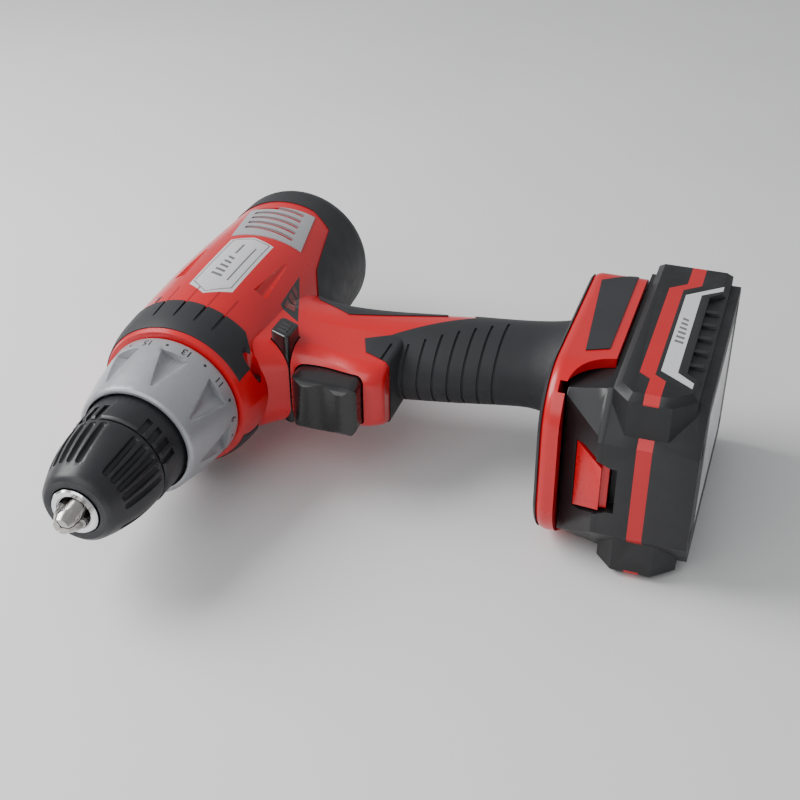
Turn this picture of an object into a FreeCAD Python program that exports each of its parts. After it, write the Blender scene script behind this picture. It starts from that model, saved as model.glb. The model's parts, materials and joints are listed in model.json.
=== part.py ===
"""Cordless drill with a two-sleeve keyless chuck, a two-stage planetary gearbox, a brushed motor,
a trigger switch and a slide-in battery pack.

Frame: millimetres, +Z up, -Y towards the chuck, +X the operator's left.
The origin is the centre of the battery pack's flat bottom.
"""

import FreeCAD
import Part
import math
import os

from FreeCAD import Vector

os.makedirs("parts", exist_ok=True)

# ---------------------------------------------------------------- driving dimensions: whole tool
AXIS_HEIGHT = 194.0          # spindle axis above the pack's bottom
WALL = 2.6                   # housing wall
SKIN_PROUD = 0.4             # rubber stands this far out of the plastic
SKIN_DEPTH = 1.1             # rubber is let this far into the plastic
TRIM_DEPTH = 0.6             # plates and labels are let this far into the plastic
GAP = 0.3                    # working gap between pieces that move past each other
RUNNING = 0.05               # radial clearance of a running fit
FAR = 200.0                  # reach of a cutting block, larger than the tool
SEAM_TURN = 37.0             # turns the seam of a closed surface away from the joint plane

# ---------------------------------------------------------------- driving dimensions: barrel
BARREL_R = 31.4              # barrel radius at the nose band
BARREL_SWELL = 1.2           # extra radius half way along
NOSE_R = BARREL_R - 2.8      # radius of the barrel's front rim
BARREL_FRONT = -45.0
BARREL_REAR = 87.0
DOME_LENGTH = 11.0           # length of the rounded rear end
DOME_DROP = 9.5              # how far the rear end's flat is inside the barrel radius
RIB_T = 2.0                  # thickness of the ring-shaped ribs

# ---------------------------------------------------------------- driving dimensions: handle and foot
GRIP_HALF_WIDTH = 15.2
GRIP_HALF_DEPTH = 19.8
GRIP_MID_Z = AXIS_HEIGHT - 76.0
GRIP_MID_Y = 12.6            # centre of the grip at its middle
GRIP_FOOT_Y = 25.5           # centre of the grip where it meets the foot
SHROUD_FRONT = -23.0         # front of the housing behind the trigger
SHROUD_BOTTOM = AXIS_HEIGHT - 75.5
FOOT_FRONT = -46.0
FOOT_TOP = 55.0
VISOR_BOTTOM = 47.5          # underside of the foot's front lip

# ---------------------------------------------------------------- driving dimensions: battery pack
CELL_R = 9.1
CELL_LENGTH = 65.0
CELL_GAP = 0.4               # between neighbouring cells
CELL_COUNT = 4
CELL_FRONT = -35.6           # front of the first cell
CELL_PITCH = 2.0 * CELL_R + CELL_GAP
PACK_WALL = 2.0
PACK_CORE_HALF_WIDTH = CELL_LENGTH / 2.0 + 1.0
PACK_HALF_WIDTH = CELL_LENGTH / 2.0 + 5.5
PACK_FRONT = -49.0
PACK_REAR = CELL_FRONT + 2.0 * CELL_R + (CELL_COUNT - 1) * CELL_PITCH + 12.6
PACK_TOP = 33.5              # top plate of the pack, under the foot
PACK_SPLIT = 31.5            # joint between the case and its cover
NOSE_HALF_WIDTH = 19.0       # half width of the pack's front face
FOOT_HALF_WIDTH = PACK_HALF_WIDTH - 2.0
FOOT_REAR = PACK_REAR - 7.0
GRIP_LEAN = (GRIP_FOOT_Y - GRIP_MID_Y) / (GRIP_MID_Z - FOOT_TOP)
RAIL_HALF_WIDTH = FOOT_HALF_WIDTH - 7.8
TOWER_HALF_WIDTH = RAIL_HALF_WIDTH - 3.4
TOWER_REAR = FOOT_REAR - 11.0
TOWER_TOP = 47.0
BLOCK_REAR = -24.0           # rear of the wide block at the pack's front

# ---------------------------------------------------------------- driving dimensions: gear train
MODULE = 0.65
SUN_TEETH = 12
PLANET_TEETH = 18
RING_TEETH = SUN_TEETH + 2 * PLANET_TEETH
PLANET_COUNT = 3
PRESSURE_ANGLE = math.radians(20.0)
ADDENDUM = 0.8               # of the module
DEDENDUM = 1.1               # of the module
BACKLASH = 0.14              # thickness taken off each tooth
GEAR_WIDTH = 7.0
GEAR_SIDE_GAP = 0.3
CARRIER_T = 3.2
PLANET_PIN_R = 2.0
MOTOR_FACE = -10.0           # the motor's front face, the gear train's rear end
GEARBOX_R = 23.5
GEARBOX_BORE_R = 20.0
MOTOR_R = 17.9
MOTOR_LENGTH = 57.0
MOTOR_SHAFT_R = 1.6
SPINDLE_R = 7.0
SPINDLE_TIP_R = 6.0

# ---------------------------------------------------------------- driving dimensions: clutch collar
COLLAR_FRONT = -75.0
COLLAR_FRONT_R = 22.4
COLLAR_REAR_R = 26.9
COLLAR_BORE_R = 20.7
COLLAR_THREAD_R = 19.3
COLLAR_SCOOPS = 8
NOSE_TUBE_R = 13.0
NOSE_TUBE_BORE_R = 10.0

# ---------------------------------------------------------------- driving dimensions: chuck
JAW_TIP = -125.0
JAW_R = 3.4
JAW_CLEARANCE = 0.08
JAW_ANGLE = math.radians(15.0)
JAW_LENGTH = 32.0
JAW_TRAVEL = 19.0
JAW_TIP_AXIS_R = 0.5         # distance of a jaw's axis from the spindle axis at its tip
JAW_FLAT_R = 0.45            # distance of a gripping face from the spindle axis when closed
JAW_COUNT = 3
CHUCK_NOSE = -116.5
CHUCK_BORE_R = 5.3
CHUCK_REAR = -71.5
SLEEVE_SPLIT = -88.4
FRONT_SLEEVE_R = 18.9
FRONT_SLEEVE_TIP_R = 12.6
REAR_SLEEVE_R = 19.7
SLEEVE_WALL = 2.1

# ---------------------------------------------------------------- driving dimensions: controls
TRIGGER_HALF_WIDTH = 10.5
TRIGGER_FRONT = -35.0
TRIGGER_BOTTOM = AXIS_HEIGHT - 68.0
TRIGGER_TOP = AXIS_HEIGHT - 41.0
PLUNGER_Z = AXIS_HEIGHT - 53.0
SELECTOR_TRAVEL = 6.0
BUTTON_TRAVEL = 2.5


# ================================================================ helpers
def box(x0, x1, y0, y1, z0, z1):
    """A block between two corners."""
    return Part.makeBox(x1 - x0, y1 - y0, z1 - z0, Vector(x0, y0, z0))


def cyl_y(radius, y0, y1, x=0.0, z=AXIS_HEIGHT):
    """A round bar along Y."""
    return Part.makeCylinder(radius, y1 - y0, Vector(x, y0, z), Vector(0, 1, 0))


def cyl_x(radius, x0, x1, y, z):
    """A round bar along X."""
    return Part.makeCylinder(radius, x1 - x0, Vector(x0, y, z), Vector(1, 0, 0))


def cyl_z(radius, z0, z1, x, y):
    """A round bar along Z."""
    return Part.makeCylinder(radius, z1 - z0, Vector(x, y, z0), Vector(0, 0, 1))


def ring_y(outer, inner, y0, y1):
    """A plain ring about the spindle axis."""
    return cyl_y(outer, y0, y1).cut(cyl_y(inner, y0 - 1.0, y1 + 1.0))


def face_of(points):
    """A flat face with straight sides through a list of points."""
    return Part.Face(Part.makePolygon(points + [points[0]]))


def prism_x(outline, x0, x1):
    """A side-view outline, a list of (y, z), extruded across the tool."""
    return face_of([Vector(x0, y, z) for y, z in outline]).extrude(Vector(x1 - x0, 0, 0))


def prism_y(outline, y0, y1):
    """A front-view outline, a list of (x, z), extruded along the tool."""
    return face_of([Vector(x, y0, z) for x, z in outline]).extrude(Vector(0, y1 - y0, 0))


def prism_z(outline, z0, z1):
    """A plan outline, a list of (x, y), extruded upwards."""
    return face_of([Vector(x, y, z0) for x, y in outline]).extrude(Vector(0, 0, z1 - z0))


def revolve(outline):
    """An outline of (y, radius) turned about the spindle axis."""
    face = face_of([Vector(0, y, AXIS_HEIGHT + r) for y, r in outline])
    return face.revolve(Vector(0, 0, AXIS_HEIGHT), Vector(0, 1, 0), 360)


def spin(shape, degrees):
    """A copy of a shape turned about the spindle axis."""
    turned = shape.copy()
    turned.rotate(Vector(0, 0, AXIS_HEIGHT), Vector(0, 1, 0), degrees)
    return turned


def mirrored(shape):
    """The same shape on the other side of the tool."""
    return shape.mirror(Vector(0, 0, 0), Vector(1, 0, 0))


def union(shapes):
    """All the shapes joined into one."""
    first = shapes[0]
    return first.fuse(shapes[1:]).removeSplitter() if len(shapes) > 1 else first


def spring_y(radius, wire, y0, y1, turns, z=AXIS_HEIGHT):
    """A compression spring along Y, of round wire, between two planes."""
    length = y1 - y0 - 2.0 * wire
    helix = Part.makeHelix(length / turns, length, radius)
    profile = Part.Wire(Part.makeCircle(wire, Vector(radius, 0, 0), Vector(0, 1, 0)))
    coil = Part.Wire(helix).makePipeShell([profile], True, True)
    coil.rotate(Vector(0, 0, 0), Vector(1, 0, 0), -90)
    coil.translate(Vector(0, y0 + wire, z))
    return coil


def left_of(shape):
    """The operator's left half of a shape."""
    return shape.common(box(0.0, FAR, -FAR, FAR, -FAR, 2 * FAR))


def save(name, shape):
    """One node, one file."""
    solids = shape.Solids
    if len(solids) == 1:
        shape = solids[0]
    shape.exportStep("parts/" + name + ".step")
    print(name, len(solids), round(shape.Volume, 1), shape.isValid())


# ================================================================ outer form of the housing
def barrel(grow):
    """The barrel, with its surface moved out by grow."""
    middle = (BARREL_FRONT + BARREL_REAR) / 2.0
    dome = BARREL_REAR - DOME_LENGTH
    front = BARREL_FRONT
    points = [
        (front, NOSE_R),
        (front + 6.0, (NOSE_R + BARREL_R) / 2.0 + 0.4),
        (front + 16.0, BARREL_R),
        (middle, BARREL_R + BARREL_SWELL),
        (dome, BARREL_R - 0.6),
    ]
    side = Part.BSplineCurve()
    side.interpolate([Vector(0, y, AXIS_HEIGHT + r + grow) for y, r in points])
    rim = Vector(0, dome, AXIS_HEIGHT + points[-1][1] + grow)
    rear = BARREL_REAR + grow
    flat = Vector(0, rear, rim.z - DOME_DROP)
    bulge = Vector(0, dome + 0.68 * (rear - dome), rim.z - 0.30 * DOME_DROP)
    edges = [
        side.toShape(),
        Part.Arc(rim, bulge, flat).toShape(),
        Part.makeLine(flat, Vector(0, rear, AXIS_HEIGHT)),
        Part.makeLine(Vector(0, rear, AXIS_HEIGHT), Vector(0, front, AXIS_HEIGHT)),
        Part.makeLine(Vector(0, front, AXIS_HEIGHT), Vector(0, front, AXIS_HEIGHT + NOSE_R + grow)),
    ]
    face = Part.Face(Part.Wire(edges))
    turned = face.revolve(Vector(0, 0, AXIS_HEIGHT), Vector(0, 1, 0), 360)
    return spin(turned, SEAM_TURN)


def oval(z, centre_y, half_width, half_depth):
    """A horizontal oval section of the handle."""
    if half_depth >= half_width:
        ellipse = Part.Ellipse(
            Vector(0, centre_y + half_depth, z), Vector(half_width, centre_y, z), Vector(0, centre_y, z)
        )
    else:
        ellipse = Part.Ellipse(
            Vector(half_width, centre_y, z), Vector(0, centre_y + half_depth, z), Vector(0, centre_y, z)
        )
    return Part.Wire(ellipse.toShape())


def grip_centre(z):
    """Where the leaning grip's middle is at a height."""
    return GRIP_MID_Y + (GRIP_MID_Z - z) * GRIP_LEAN


def grip_form(grow):
    """The grip and its flares into the barrel and the foot."""
    sections = [
        (FOOT_TOP - 4.0, 8.3, 9.0, 4.2),
        (FOOT_TOP + 3.0, 3.9, 4.2, 1.7),
        (FOOT_TOP + 11.0, 0.7, 0.9, 0.6),
        (FOOT_TOP + 22.0, 0.0, 0.0, 0.0),
        (GRIP_MID_Z - 20.0, 0.0, 0.3, 0.4),
        (GRIP_MID_Z, 0.0, 0.2, 0.4),
        (GRIP_MID_Z + 20.0, 0.0, 0.6, 1.0),
        (AXIS_HEIGHT - 42.0, 0.0, 1.6, 3.6),
        (AXIS_HEIGHT - 32.0, 0.0, 2.6, 9.0),
        (AXIS_HEIGHT - 22.0, 0.0, 4.0, 17.0),
    ]
    wires = [
        oval(z, grip_centre(z) - forward, GRIP_HALF_WIDTH + wide + grow, GRIP_HALF_DEPTH + deep + grow)
        for z, forward, wide, deep in sections
    ]
    return Part.makeLoft(wires, True, False)


def rounded_wire(z, half_width, y0, y1, radius):
    """A horizontal rectangle with rounded corners, centred on the joint plane."""
    bend = radius * (1.0 - math.sqrt(0.5))
    bends = []
    for index, (side, end) in enumerate(((1, -1), (1, 1), (-1, 1), (-1, -1))):
        x = side * half_width
        y = y0 if end < 0 else y1
        on_side = Vector(x, y - end * radius, z)
        on_end = Vector(x - side * radius, y, z)
        middle = Vector(x - side * bend, y - end * bend, z)
        bends.append((on_end, middle, on_side) if index % 2 == 0 else (on_side, middle, on_end))
    edges = []
    for index, (first, middle, last) in enumerate(bends):
        edges.append(Part.Arc(first, middle, last).toShape())
        edges.append(Part.makeLine(last, bends[(index + 1) % len(bends)][0]))
    return Part.Wire(edges)


def shroud_form(grow):
    """The deeper part of the housing behind the trigger, down to the lip below it."""
    bottom = SHROUD_BOTTOM - grow
    top = AXIS_HEIGHT - 16.0
    rear = grip_centre(GRIP_MID_Z)
    wires = []
    for z, half_width, front, radius in (
        (bottom, 13.0, SHROUD_FRONT + 1.0, 8.0),
        (bottom + 10.0, 14.2, SHROUD_FRONT - 2.5, 8.0),
        (bottom + 26.0, 15.4, SHROUD_FRONT, 8.0),
        (top - 18.0, 17.6, SHROUD_FRONT - 4.5, 9.0),
        (top, 21.0, SHROUD_FRONT - 14.0, 10.0),
    ):
        wires.append(rounded_wire(z, half_width + grow, front - grow, rear + grow, radius + grow))
    form = Part.makeLoft(wires, True, False)
    rim = [edge for edge in form.Edges if abs(edge.BoundBox.ZMax - bottom) < 0.01]
    return form.makeFillet(2.4, rim)


def is_upright(edge):
    """Whether an edge is a straight vertical line."""
    bounds = edge.BoundBox
    return bounds.ZLength > 1.0 and max(bounds.XLength, bounds.YLength) < 0.1


def foot_form(grow):
    """The flared foot that takes the battery pack."""
    half = FOOT_HALF_WIDTH + grow
    block = box(-half, half, FOOT_FRONT - grow, FOOT_REAR + grow, PACK_TOP + GAP - grow, FOOT_TOP + grow)
    front_corners = [edge for edge in block.Edges if is_upright(edge) and edge.BoundBox.YMax < 0.0]
    block = block.makeFillet(22.0 + grow, front_corners)
    rear = FOOT_REAR + grow - 0.1
    rear_corners = [edge for edge in block.Edges if is_upright(edge) and edge.BoundBox.YMin > rear]
    block = block.makeFillet(9.0 + grow, rear_corners)
    top_edges = [edge for edge in block.Edges if edge.BoundBox.ZMin > FOOT_TOP + grow - 0.01]
    return block.makeFillet(4.5, top_edges)


def upper_form(grow):
    """The outer form of the barrel and handle, without the foot."""
    return union([barrel(grow), grip_form(grow), shroud_form(grow)])


def housing_form(grow):
    """The whole outer form of the drill's housing, with its surface moved out by grow."""
    return union([upper_form(grow), foot_form(grow)])


# ================================================================ housing, rubber and trim
RAIL_BOTTOM = 39.0           # underside of the pack's rails
RAIL_TOP = 44.5
TERMINAL_HALF_WIDTH = 13.6
SCREW_R = 1.5
SCREW_HEAD_R = 2.8
SCREW_HEAD_T = 2.2
SCREW_REACH = 9.0            # from the joint plane to the screw's point
SCREW_SEAT = 5.0             # from the joint plane to the underside of the head
BOSS_R = 3.6
VENT_PITCH = 5.2
VENT_WIDTH = 2.4
VENT_COUNT = 5
VENT_FIRST = 38.0
GROOVE_DEPTH = 0.75          # finger grooves in the grip
SWITCH_Y0 = -3.0
SWITCH_Y1 = 21.0
SWITCH_HALF_WIDTH = 9.0
SWITCH_Z0 = TRIGGER_BOTTOM - 2.0
SWITCH_Z1 = TRIGGER_TOP - 3.5
SELECTOR_Y0 = -25.0          # at the slider's underside
SELECTOR_Y1 = -14.0
SELECTOR_LEAN = 0.45         # rearward slant of its ends per millimetre of height
SELECTOR_Z0 = AXIS_HEIGHT - 38.9
SELECTOR_Z1 = AXIS_HEIGHT - 30.3

# y, z of each housing screw, and the side its head is on (1 is the operator's left)
HOUSING_SCREWS = (
    (BARREL_FRONT + 12.0, AXIS_HEIGHT - 27.4, 1),
    (BARREL_FRONT + 12.0, AXIS_HEIGHT + 27.4, -1),
    (20.0, AXIS_HEIGHT + 24.5, -1),
    (BARREL_REAR - 21.0, AXIS_HEIGHT + 17.0, -1),
    (BARREL_REAR - 21.0, AXIS_HEIGHT - 17.0, -1),
    (12.0, AXIS_HEIGHT - 35.0, -1),
    (grip_centre(GRIP_MID_Z - 12.0), GRIP_MID_Z - 12.0, -1),
    (grip_centre(FOOT_TOP + 19.0), FOOT_TOP + 19.0, -1),
)


def rear_bumper_outline():
    """Side view of the rubber over the barrel's rear and down the back of the handle."""
    low = AXIS_HEIGHT
    return [
        (66.0, low + 50.0), (67.0, low - 12.0), (62.0, low - 21.0), (34.0, low - 26.5),
        (18.0, low - 34.0), (9.0, low - 50.0), (23.0, GRIP_MID_Z - 10.5), (33.0, GRIP_MID_Z - 7.0),
        (FAR, GRIP_MID_Z - 7.0), (FAR, low + 50.0),
    ]


def grip_outline():
    """Side view of the grip's rubber, with the step that leaves the plastic's arrow bare."""
    return [
        (-4.0, GRIP_MID_Z + 14.5), (24.0, GRIP_MID_Z - 21.5), (30.0, GRIP_MID_Z - 19.5),
        (44.0, GRIP_MID_Z - 44.0), (FAR, GRIP_MID_Z - 44.0), (FAR, FOOT_TOP - 1.0), (-FAR, FOOT_TOP - 1.0),
        (-FAR, SHROUD_BOTTOM - 0.5), (-16.0, SHROUD_BOTTOM - 0.5), (-12.5, GRIP_MID_Z + 11.0),
    ]


def nose_band_outline():
    """Side view of the rubber band round the barrel's nose, open underneath."""
    low = AXIS_HEIGHT - BARREL_R
    return [
        (-43.0, AXIS_HEIGHT + 50.0), (-26.0, AXIS_HEIGHT + 50.0), (-26.0, low + 9.0),
        (-33.5, low + 3.0), (-43.0, low + 4.5),
    ]


def foot_pad_outline():
    """Side view of the rubber pad on each side of the foot."""
    return [(31.0, 50.0), (39.8, 37.3), (-17.0, 37.3), (-20.5, 45.0)]


def nameplate_outline():
    """Side view of the bright plate on each side of the barrel."""
    middle = AXIS_HEIGHT - 2.0
    return [
        (-13.0, middle + 8.5), (-18.5, middle), (-12.0, middle - 9.0),
        (27.0, middle - 9.0), (29.0, middle), (25.5, middle + 9.0),
    ]


def grille_outline():
    """Side view of the silver vent grille on each side of the barrel."""
    return [
        (29.0, AXIS_HEIGHT + 8.5), (58.0, AXIS_HEIGHT + 13.5),
        (62.5, AXIS_HEIGHT - 14.5), (34.5, AXIS_HEIGHT - 19.5),
    ]


def window_outline():
    """Side view of the wedge-shaped charge window."""
    return [(22.0, AXIS_HEIGHT - 24.0), (-5.0, AXIS_HEIGHT - 34.5), (0.5, AXIS_HEIGHT - 25.0)]


def vent_slots(x0, x1, trim):
    """The vent slots of one side, as thin blocks across the wall, each made smaller by trim."""
    slots = []
    for index in range(VENT_COUNT):
        y = VENT_FIRST + index * VENT_PITCH
        low = AXIS_HEIGHT - 14.5 + index * 0.9 + trim
        high = AXIS_HEIGHT + 6.5 + index * 0.9 - trim
        slots.append(box(x0, x1, y - VENT_WIDTH / 2.0 + trim, y + VENT_WIDTH / 2.0 - trim, low, high))
    return slots


def pack_pocket():
    """The space inside the foot that the battery pack slides into."""
    inner = FOOT_HALF_WIDTH - 3.6
    start = BLOCK_REAR + 1.5
    low = Vector(-FAR, start, PACK_TOP)
    high = Vector(-FAR, start - 13.0, VISOR_BOTTOM)
    bow = Part.Arc(low, Vector(-FAR, start - 4.6, VISOR_BOTTOM - 5.0), high)
    corners = [
        high, Vector(-FAR, -FAR, VISOR_BOTTOM), Vector(-FAR, -FAR, 0.0), Vector(-FAR, start, 0.0), low,
    ]
    wire = Part.Wire([bow.toShape()] + list(Part.makePolygon(corners).Edges))
    mouth = Part.Face(wire).extrude(Vector(2 * FAR, 0, 0))
    room = box(-inner, inner, start - 17.0, FOOT_REAR - 6.0, 0.0, FOOT_TOP - 5.0)
    rail_x = TOWER_HALF_WIDTH + 0.4
    rail = box(rail_x, inner + 1.0, -8.0, FOOT_REAR - 5.0, RAIL_BOTTOM - 4.0, RAIL_BOTTOM - 0.4)
    return union([mouth, room.cut(union([rail, mirrored(rail)])), terminal_seat(0.0)])


def terminal_seat(gap):
    """The opening between foot and grip that holds the terminal block, with a gap under and over it."""
    half = TERMINAL_HALF_WIDTH
    return box(-half, half, 9.0, FOOT_REAR - 8.0, FOOT_TOP - 6.0 + gap, FOOT_TOP + 2.0 - gap)


def trigger_mouth():
    """The opening in the front of the handle that the trigger works in."""
    half = TRIGGER_HALF_WIDTH + GAP + 0.2
    block = box(-half, half, -FAR, -10.0, TRIGGER_BOTTOM - 0.5, TRIGGER_TOP + 0.5)
    return block.makeFillet(3.4, [e for e in block.Edges if e.BoundBox.YLength > 10.0])


def selector_outline(grow):
    """Side view of the direction slider, with its outline moved out by grow."""
    slant = math.hypot(1.0, SELECTOR_LEAN) * grow
    low = -SELECTOR_LEAN * grow
    high = SELECTOR_LEAN * (SELECTOR_Z1 - SELECTOR_Z0 + grow)
    return [
        (SELECTOR_Y0 + low - slant, SELECTOR_Z0 - grow), (SELECTOR_Y1 + low + slant, SELECTOR_Z0 - grow),
        (SELECTOR_Y1 + high + slant, SELECTOR_Z1 + grow), (SELECTOR_Y0 + high - slant, SELECTOR_Z1 + grow),
    ]


def screw_cut(y, z, side):
    """What a housing screw takes out of the shells: thread, clearance and head recess."""
    pilot = cyl_x(SCREW_R, -SCREW_REACH, SCREW_REACH, y, z)
    head = cyl_x(SCREW_HEAD_R + 0.3, SCREW_SEAT, FAR, y, z)
    return union([pilot, head if side > 0 else mirrored(head)])


def screw_shape(y, z, side):
    """A pan-head screw across the joint plane, with a cross recess."""
    shank = cyl_x(SCREW_R, -SCREW_REACH, SCREW_SEAT, y, z)
    head = cyl_x(SCREW_HEAD_R, SCREW_SEAT, SCREW_SEAT + SCREW_HEAD_T, y, z)
    top = SCREW_SEAT + SCREW_HEAD_T
    slot = union([
        box(top - 1.2, top + 1.0, y - 1.6, y + 1.6, z - 0.35, z + 0.35),
        box(top - 1.2, top + 1.0, y - 0.35, y + 0.35, z - 1.6, z + 1.6),
    ])
    screw = shank.fuse(head).removeSplitter().cut(slot)
    return screw if side > 0 else mirrored(screw)


def housing_nodes():
    """The two shells, everything moulded or glued onto them, and their screws."""
    form = left_of(housing_form(0.0))
    skin_out = left_of(housing_form(SKIN_PROUD))
    skin_in = left_of(housing_form(-SKIN_DEPTH))
    trim_in = left_of(housing_form(-TRIM_DEPTH))
    groove_floor = left_of(housing_form(SKIN_PROUD - GROOVE_DEPTH))

    cavity = upper_form(-WALL)
    openings = union([pack_pocket(), trigger_mouth()])

    def skin(outline, depth_form, out_form):
        region = prism_x(outline, 0.0, FAR)
        return region.common(out_form).cut(depth_form).cut(openings)

    bumper = skin(rear_bumper_outline(), skin_in, skin_out)
    grip = skin(grip_outline(), skin_in, skin_out)
    band = skin(nose_band_outline(), skin_in, skin_out)
    pad = skin(foot_pad_outline(), skin_in, skin_out)
    plate = skin(nameplate_outline(), trim_in, form)
    grille = skin(grille_outline(), trim_in, skin_out)
    window = skin(window_outline(), skin_in, form)

    shell = form.cut(cavity).cut(openings)
    collar_rim = ring_y(NOSE_R - WALL + 0.8, GEARBOX_R + 0.4, BARREL_FRONT, BARREL_FRONT + RIB_T)
    ribs = []
    for y, bore in ((-34.0, GEARBOX_R), (-16.0, GEARBOX_R), (2.0, MOTOR_R), (38.0, MOTOR_R)):
        ribs.append(ring_y(BARREL_R + BARREL_SWELL, bore, y, y + RIB_T))
    for y in (SWITCH_Y0 + 1.0, SWITCH_Y1 - 3.0):
        ribs.append(box(SWITCH_HALF_WIDTH, FAR, y, y + RIB_T, SWITCH_Z0 + 4.0, SWITCH_Z1 - 4.0))
    bosses = [cyl_x(BOSS_R, 0.0, FAR, y, z) for y, z, side in HOUSING_SCREWS]
    inside = left_of(upper_form(-SKIN_DEPTH - 0.5))
    supports = [rib.common(inside) for rib in ribs] + [union(bosses).common(inside), left_of(collar_rim)]
    shell = union([shell] + supports).cut(openings)
    shell = shell.cut(union([bumper, grip, band, pad, plate, grille, window]))
    grille = grille.cut(union(vent_slots(20.0, 45.0, 0.0)))
    shell = shell.cut(union(vent_slots(20.0, 45.0, 0.25)))
    shell = shell.cut(box(8.5, 13.5, 37.0, 41.0, AXIS_HEIGHT - 26.0, AXIS_HEIGHT - MOTOR_R))
    shell = shell.cut(prism_x(selector_outline(GAP), 0.0, FAR))
    shell = shell.cut(union(wedge_grooves()))
    band = band.cut(band_grooves())
    grip = grip.cut(grip_grooves(groove_floor))

    screw_cuts = union([screw_cut(y, z, side) for y, z, side in HOUSING_SCREWS])
    for name, half in (("housing", shell), ("grip", grip), ("rear_bumper", bumper), ("nose_band", band)):
        save(name + "_left", half.cut(screw_cuts))
        save(name + "_right", mirrored(half).cut(screw_cuts))
    save("vent_grille_left", grille)
    save("vent_grille_right", mirrored(grille))
    save("nameplates", Part.makeCompound([plate, mirrored(plate)]))
    save("foot_pads", Part.makeCompound([pad, mirrored(pad)]))
    save("charge_window", window)
    save("housing_screws", Part.makeCompound([screw_shape(y, z, side) for y, z, side in HOUSING_SCREWS]))


def wedge_grooves():
    """Tapered grooves in the barrel's flanks that run back towards the vents."""
    grooves = []
    for angle in (61.0, 125.0):
        centre = BARREL_R + BARREL_SWELL + 0.9
        cone = Part.makeCone(3.2, 0.3, 34.0, Vector(0, -4.0, AXIS_HEIGHT + centre), Vector(0, 1, 0))
        grooves.append(spin(cone, angle))
    return grooves


def band_grooves():
    """Short cross grooves in the nose band, four on each side."""
    cuts = []
    for angle in (72.0, 88.0, 103.0, 117.0):
        bar = box(-0.5, 0.5, -36.5, -20.0, AXIS_HEIGHT + BARREL_R - 0.35, AXIS_HEIGHT + BARREL_R + 4.0)
        cuts.append(spin(bar, angle))
    return union(cuts)


def grip_grooves(floor):
    """Finger grooves across the front of the grip, down to a shallow floor."""
    blocks = []
    count = 8
    first = GRIP_MID_Z + 4.0
    pitch = 5.6
    for index in range(count):
        z = first - index * pitch
        rear = -3.0 + (first - z) * 0.66
        blocks.append(box(-FAR, FAR, -FAR, rear, z - 0.45, z + 0.45))
    return union(blocks).cut(floor)


housing_nodes()


# ================================================================ gears
def involute(angle):
    """The involute function."""
    return math.tan(angle) - angle


def gear_outline(teeth, tip, root, half_width, phase):
    """Corner points (x, z) of a gear about the spindle axis, with straight-sided involute teeth."""
    pitch_r = MODULE * teeth / 2.0
    base_r = pitch_r * math.cos(PRESSURE_ANGLE)
    half = half_width / pitch_r
    levels = []
    steps = 3
    for step in range(steps + 1):
        r = root + (tip - root) * step / steps
        roll = math.acos(base_r / r) if r > base_r else 0.0
        levels.append((r, half + involute(PRESSURE_ANGLE) - involute(roll)))
    points = []
    for tooth in range(teeth):
        middle = phase + 2.0 * math.pi * tooth / teeth
        for r, spread in levels:
            points.append((middle - spread, r))
        for r, spread in reversed(levels):
            points.append((middle + spread, r))
    return [(r * math.sin(a), AXIS_HEIGHT + r * math.cos(a)) for a, r in points]


def outer_gear(teeth, y0, y1, phase=0.0):
    """A gear with teeth outside; its first tooth points up at phase zero."""
    pitch_r = MODULE * teeth / 2.0
    half = (math.pi * MODULE / 2.0 - BACKLASH) / 2.0
    tip = pitch_r + ADDENDUM * MODULE
    root = pitch_r - DEDENDUM * MODULE
    return prism_y(gear_outline(teeth, tip, root, half, phase), y0, y1)


def ring_gear(y0, y1):
    """A gear with teeth inside; a tooth, not a space, points down from the top."""
    pitch_r = MODULE * RING_TEETH / 2.0
    half = (math.pi * MODULE / 2.0 + BACKLASH) / 2.0
    space = gear_outline(
        RING_TEETH, pitch_r + DEDENDUM * MODULE, pitch_r - ADDENDUM * MODULE, half, math.pi / RING_TEETH
    )
    return cyl_y(GEARBOX_BORE_R, y0, y1).cut(prism_y(space, y0 - 1.0, y1 + 1.0))


PLANET_ORBIT_R = MODULE * (SUN_TEETH + PLANET_TEETH) / 2.0
STAGE_1_REAR = MOTOR_FACE - 3.0                    # rear face of the first stage's planets
STAGE_1_FRONT = STAGE_1_REAR - GEAR_WIDTH
CARRIER_1_REAR = STAGE_1_FRONT - GEAR_SIDE_GAP
CARRIER_1_FRONT = CARRIER_1_REAR - CARRIER_T
STAGE_2_REAR = CARRIER_1_FRONT - GEAR_SIDE_GAP
STAGE_2_FRONT = STAGE_2_REAR - GEAR_WIDTH
CARRIER_2_REAR = STAGE_2_FRONT - GEAR_SIDE_GAP
CARRIER_2_FRONT = CARRIER_2_REAR - CARRIER_T - 0.4
GEARBOX_FRONT = CARRIER_2_FRONT - 2.8
GEARBOX_FLOOR = CARRIER_2_FRONT - GEAR_SIDE_GAP
NOSE_TUBE_FRONT = COLLAR_FRONT + 8.5


def on_orbit(shape, index):
    """A shape placed at the top of the planets' orbit, turned to a planet's place."""
    moved = shape.copy()
    moved.translate(Vector(0, 0, PLANET_ORBIT_R))
    return spin(moved, 360.0 * index / PLANET_COUNT)


def planet(y0, y1, index):
    """A planet gear on its pin; a space faces the sun."""
    gear = outer_gear(PLANET_TEETH, y0, y1, math.pi / PLANET_TEETH)
    return on_orbit(gear.cut(cyl_y(PLANET_PIN_R + RUNNING, y0 - 1.0, y1 + 1.0)), index)


def carrier_disc(y_front, y_rear, pin_end):
    """A carrier's disc with its planet pins."""
    disc = cyl_y(PLANET_ORBIT_R + 4.0, y_front, y_rear)
    pins = [on_orbit(cyl_y(PLANET_PIN_R, y_rear - 1.0, pin_end), i) for i in range(PLANET_COUNT)]
    return union([disc] + pins)


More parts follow.
